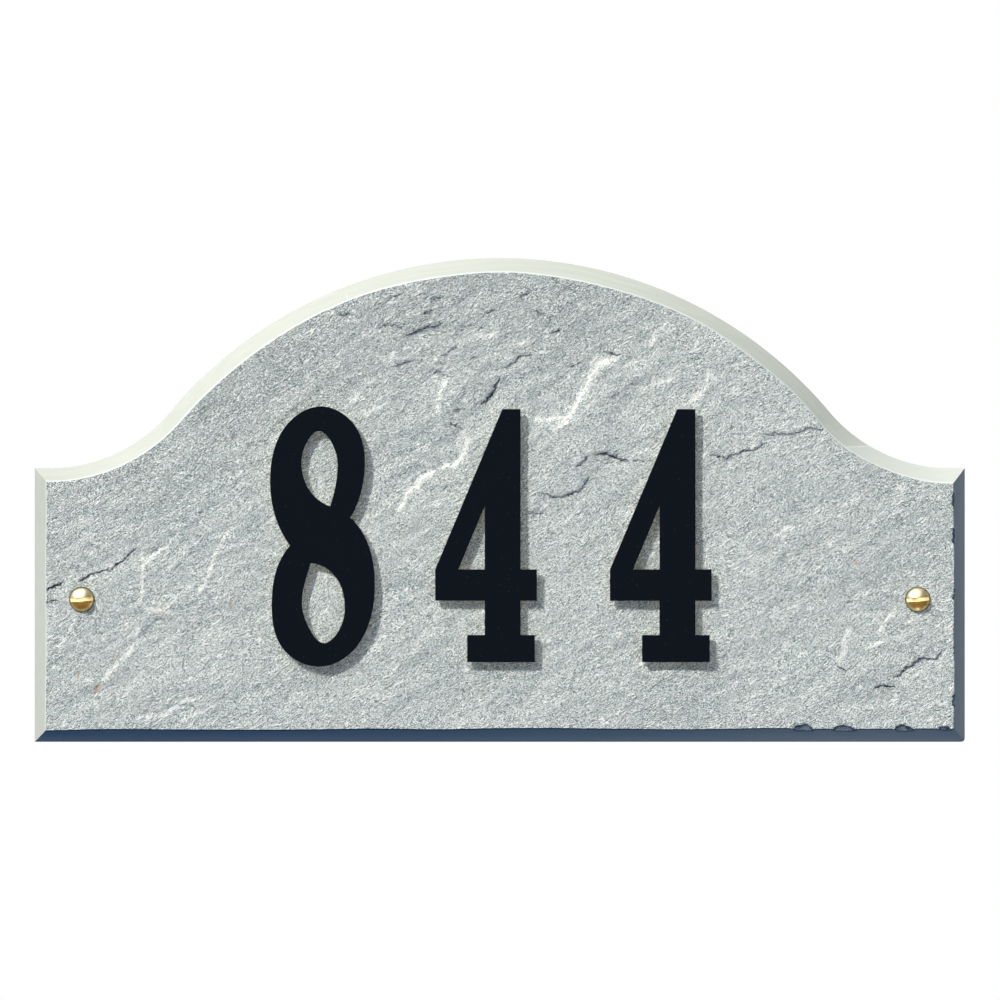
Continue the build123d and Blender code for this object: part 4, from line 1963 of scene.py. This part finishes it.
    def add_thread(self, shape: BMesh, seat: float, tip: float) -> None:
        """Wind the thread round the core, running out at the shank and at the point.

        Args:
            shape: The slotted screw, in millimetres, on the Y axis.
            seat: Level of the head's underside.
            tip: Level of the point's end.
        """
        start = seat + self.shank_length
        turns = (tip - start - self.thread_base) / self.thread_pitch
        root = self.core_radius - self.thread_sink
        half = self.thread_base / 2
        verts = [
            shape.verts.new((root, start - half, 0)),
            shape.verts.new((self.shank_radius, start, 0)),
            shape.verts.new((root, start + half, 0)),
        ]
        face = shape.faces.new(verts)
        steps = int(turns * self.thread_steps)
        before = set(shape.verts) - set(verts)
        bmesh.ops.spin(
            shape,
            geom=[*verts, *face.edges, face],
            cent=(0, 0, 0),
            axis=(0, 1, 0),
            dvec=(0, self.thread_pitch / self.thread_steps, 0),
            angle=2 * math.pi * steps / self.thread_steps,
            steps=steps,
        )
        wound = [vert for vert in shape.verts if vert not in before]
        for vert in wound:
            to_tip = max(tip - vert.co.y, 0) / self.point_length
            shrink = self.tip_radius + (self.core_radius - self.tip_radius) * min(to_tip, 1)
            crest = math.hypot(vert.co.x, vert.co.z) - root
            grown = min(max((vert.co.y - start) / self.thread_pitch, 0), 1)
            radius = shrink - self.thread_sink + crest * grown * min(to_tip * self.thread_fade, 1)
            scale = max(radius, self.least_radius) / (root + crest)
            vert.co.x *= scale
            vert.co.z *= scale
        faces = [part for part in shape.faces if part.verts[0] not in before]
        bmesh.ops.recalc_face_normals(shape, faces=faces)


# Studio


@dataclass
class Studio:
    """Lamps, pale floor, white surroundings and the camera, in metres."""

    sun_far: float = 3.0
    key_from: tuple[float, float, float] = (-0.56, -0.59, 0.63)
    key_strength: float = 3.1
    key_colour: tuple[float, float, float] = (1.0, 0.98, 0.94)
    key_spread: float = 5.0
    box_from: tuple[float, float, float] = (-0.3, -0.55, 0.8)
    box_far: float = 1.8
    box_size: float = 1.3
    box_power: float = 10.0
    fill_from: tuple[float, float, float] = (-0.18, -0.66, 0.69)
    fill_strength: float = 1.33
    fill_colour: tuple[float, float, float] = (1.0, 0.87, 0.6)
    back_from: tuple[float, float, float] = (0.35, 0.85, 0.4)
    back_strength: float = 2.2
    low_from: tuple[float, float, float] = (0.17, -0.03, -0.2)
    low_far: float = 0.264
    low_size: float = 0.05
    low_power: float = 0.028
    ambient: tuple[float, float, float] = (0.006, 0.085, 0.215)
    mirrored_low: tuple[float, float, float] = (0.2, 0.15, 0.07)
    mirrored_right: tuple[float, float, float] = (0.3, 0.34, 0.42)
    mirrored_high: tuple[float, float, float] = (1.8, 2.0, 2.9)
    mirrored_front: tuple[float, float, float] = (4.0, 4.0, 3.8)
    floor_colour: str = "F2F2F0"
    floor_bounce: str = "14406C"
    floor_mirrored: str = "7D622E"
    floor_roughness: float = 0.9
    floor_drop: float = 0.25
    floor_near: float = -8.0
    floor_far: float = 2.5
    floor_half: float = 6.0
    camera_far: float = 4.0
    frame_width: float = 0.4
    sensor: float = 36.0
    photo_columns: int = 1000
    view_plane: float = -0.0068

    def build(self, photo: PhotoFrame) -> None:
        """Set the stage.

        Args:
            photo: How the photograph frames the stone.
        """
        scene = bpy.context.scene
        scene.view_settings.view_transform = "Standard"
        self.add_lamps()
        self.add_floor()
        self.dress_world(scene)
        self.add_camera(scene, photo)

    def add_lamps(self) -> None:
        """Add the key lamp, the softbox, the warm fill, a lamp behind and a small low one."""
        key = {
            "energy": self.key_strength,
            "color": self.key_colour,
            "angle": math.radians(self.key_spread),
        }
        box = {"energy": self.box_power, "size": self.box_size}
        fill = {"energy": self.fill_strength, "color": self.fill_colour, "use_shadow": False}
        back = {"energy": self.back_strength}
        low = {"energy": self.low_power, "size": self.low_size}
        for name, kind, place, far, settings in (
            ("key_lamp", "SUN", self.key_from, self.sun_far, key),
            ("softbox", "AREA", self.box_from, self.box_far, box),
            ("warm_fill", "SUN", self.fill_from, self.sun_far, fill),
            ("back_lamp", "SUN", self.back_from, self.sun_far, back),
            ("low_lamp", "AREA", self.low_from, self.low_far, low),
        ):
            lamp = bpy.data.lights.new(name, kind)
            for setting, value in settings.items():
                setattr(lamp, setting, value)
            toward = Vector(place)
            holder = bpy.data.objects.new(name, lamp)
            holder.location = toward.normalized() * far
            holder.rotation_euler = toward.to_track_quat("Z", "Y").to_euler()
            holder.visible_camera = False
            bpy.context.scene.collection.objects.link(holder)

    def add_floor(self) -> None:
        """Add the pale floor, below the plaque and out of the photograph's view."""
        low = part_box("slate_plate")[0].z - self.floor_drop
        shape = bmesh.new()
        bmesh.ops.create_grid(shape, x_segments=1, y_segments=1, size=1.0)
        depth = (self.floor_far - self.floor_near) / 2
        bmesh.ops.scale(shape, verts=shape.verts, vec=(self.floor_half, depth, 1))
        bmesh.ops.translate(shape, verts=shape.verts, vec=(0, self.floor_near + depth, low))
        material, tree, shader = new_material("pale_floor")
        shader.inputs["Base Color"].default_value = linear(self.floor_colour)
        shader.inputs["Roughness"].default_value = self.floor_roughness
        shader.inputs["Specular IOR Level"].default_value = 0.0
        path = add_node(tree, "LightPath")
        tint = add_node(
            tree,
            "Mix",
            {
                0: path.outputs["Is Glossy Ray"],
                MIX_A: linear(self.floor_bounce),
                MIX_B: linear(self.floor_mirrored),
            },
            data_type="RGBA",
        ).outputs[MIX_RESULT]
        dim = add_node(tree, "BsdfDiffuse", {"Color": tint}).outputs[0]
        mixed = add_node(
            tree, "MixShader", {0: path.outputs["Is Camera Ray"], 1: dim, 2: shader.outputs[0]}
        ).outputs[0]
        tree.links.new(mixed, tree.nodes["Material Output"].inputs["Surface"])
        mesh_object("floor", shape, material)

    def dress_world(self, scene: Scene) -> None:
        """Make the surroundings white to the eye and a dim blue to the stone.

        Args:
            scene: The scene that gets the world.
        """
        world = bpy.data.worlds.new("studio")
        scene.world = world
        world.use_nodes = True
        tree = world.node_tree
        path = add_node(tree, "LightPath")
        direction = add_node(tree, "TexCoord").outputs["Generated"]
        axes = add_node(tree, "SeparateXYZ", {0: direction}).outputs
        ahead, above, on_right = (
            add_node(
                tree, "MapRange", {"Value": axes[axis], "From Min": low, "From Max": high}
            ).outputs[0]
            for axis, low, high in (("Y", -0.94, -0.97), ("Z", 0.0, 0.6), ("X", 0.1, 0.5))
        )
        mirrored = add_node(
            tree,
            "Math",
            {0: path.outputs["Is Glossy Ray"], 1: path.outputs["Is Transmission Ray"]},
            operation="MAXIMUM",
        ).outputs[0]
        colour = (*self.mirrored_low, 1.0)
        white = (1.0, 1.0, 1.0, 1.0)
        high = add_node(
            tree,
            "Mix",
            {0: on_right, MIX_A: (*self.mirrored_high, 1.0), MIX_B: (*self.mirrored_right, 1.0)},
            data_type="RGBA",
        ).outputs[MIX_RESULT]
        for share, other in ((above, high), (ahead, (*self.mirrored_front, 1.0))):
            colour = add_node(
                tree, "Mix", {0: share, MIX_A: colour, MIX_B: other}, data_type="RGBA"
            ).outputs[MIX_RESULT]
        colour = add_node(
            tree, "Mix", {0: mirrored, MIX_A: (*self.ambient, 1.0), MIX_B: colour}, data_type="RGBA"
        ).outputs[MIX_RESULT]
        colour = add_node(
            tree,
            "Mix",
            {0: path.outputs["Is Camera Ray"], MIX_A: colour, MIX_B: white},
            data_type="RGBA",
        ).outputs[MIX_RESULT]
        tree.links.new(colour, tree.nodes["Background"].inputs["Color"])

    def add_camera(self, scene: Scene, photo: PhotoFrame) -> None:
        """Add the camera, square on to the face.

        Args:
            scene: The scene that gets the camera.
            photo: How the photograph frames the stone.
        """
        lens = bpy.data.cameras.new("camera")
        lens.sensor_width = self.sensor
        lens.lens = self.sensor * self.camera_far / self.frame_width
        middle = self.photo_columns / 2
        across = (middle - photo.middle_column) * photo.pixel * MM
        up = (photo.screw_row - middle) * photo.pixel * MM
        camera = bpy.data.objects.new("camera", lens)
        camera.location = (across, self.view_plane - self.camera_far, up)
        camera.rotation_euler = (math.pi / 2, 0, 0)
        scene.collection.objects.link(camera)
        scene.camera = camera


def main() -> None:
    """Build the plaque, piece by piece, and set the stage."""
    logging.basicConfig(level=logging.INFO, format="%(name)s: %(message)s")
    outline = SlateOutline.of_frame()
    relief = RivenRelief(outline)
    black = SatinBlack().material()
    foam = ClosedCellFoam().material()
    brass = AgedBrass().material()
    sides = (("left", -1), ("right", 1))
    screws = [WoodScrew(f"brass_screw_{where}", side, brass) for where, side in sides]
    builders = [SlatePlate(outline, relief, screws[1].place()[0])]
    for digit in ("8", "4_middle", "4_right"):
        builders.append(Numeral(f"numeral_{digit}", f"black_numeral_{digit}", black))
        builders.append(FoamTape(f"foam_tape_{digit}", f"foam_strips_{digit}", foam, relief))
    for builder in builders + screws:
        piece = builder.build()
        log.info("%s: %d faces", piece.name, len(piece.data.polygons))
    Studio().build(relief.photo)


if __name__ == "__main__":
    main()
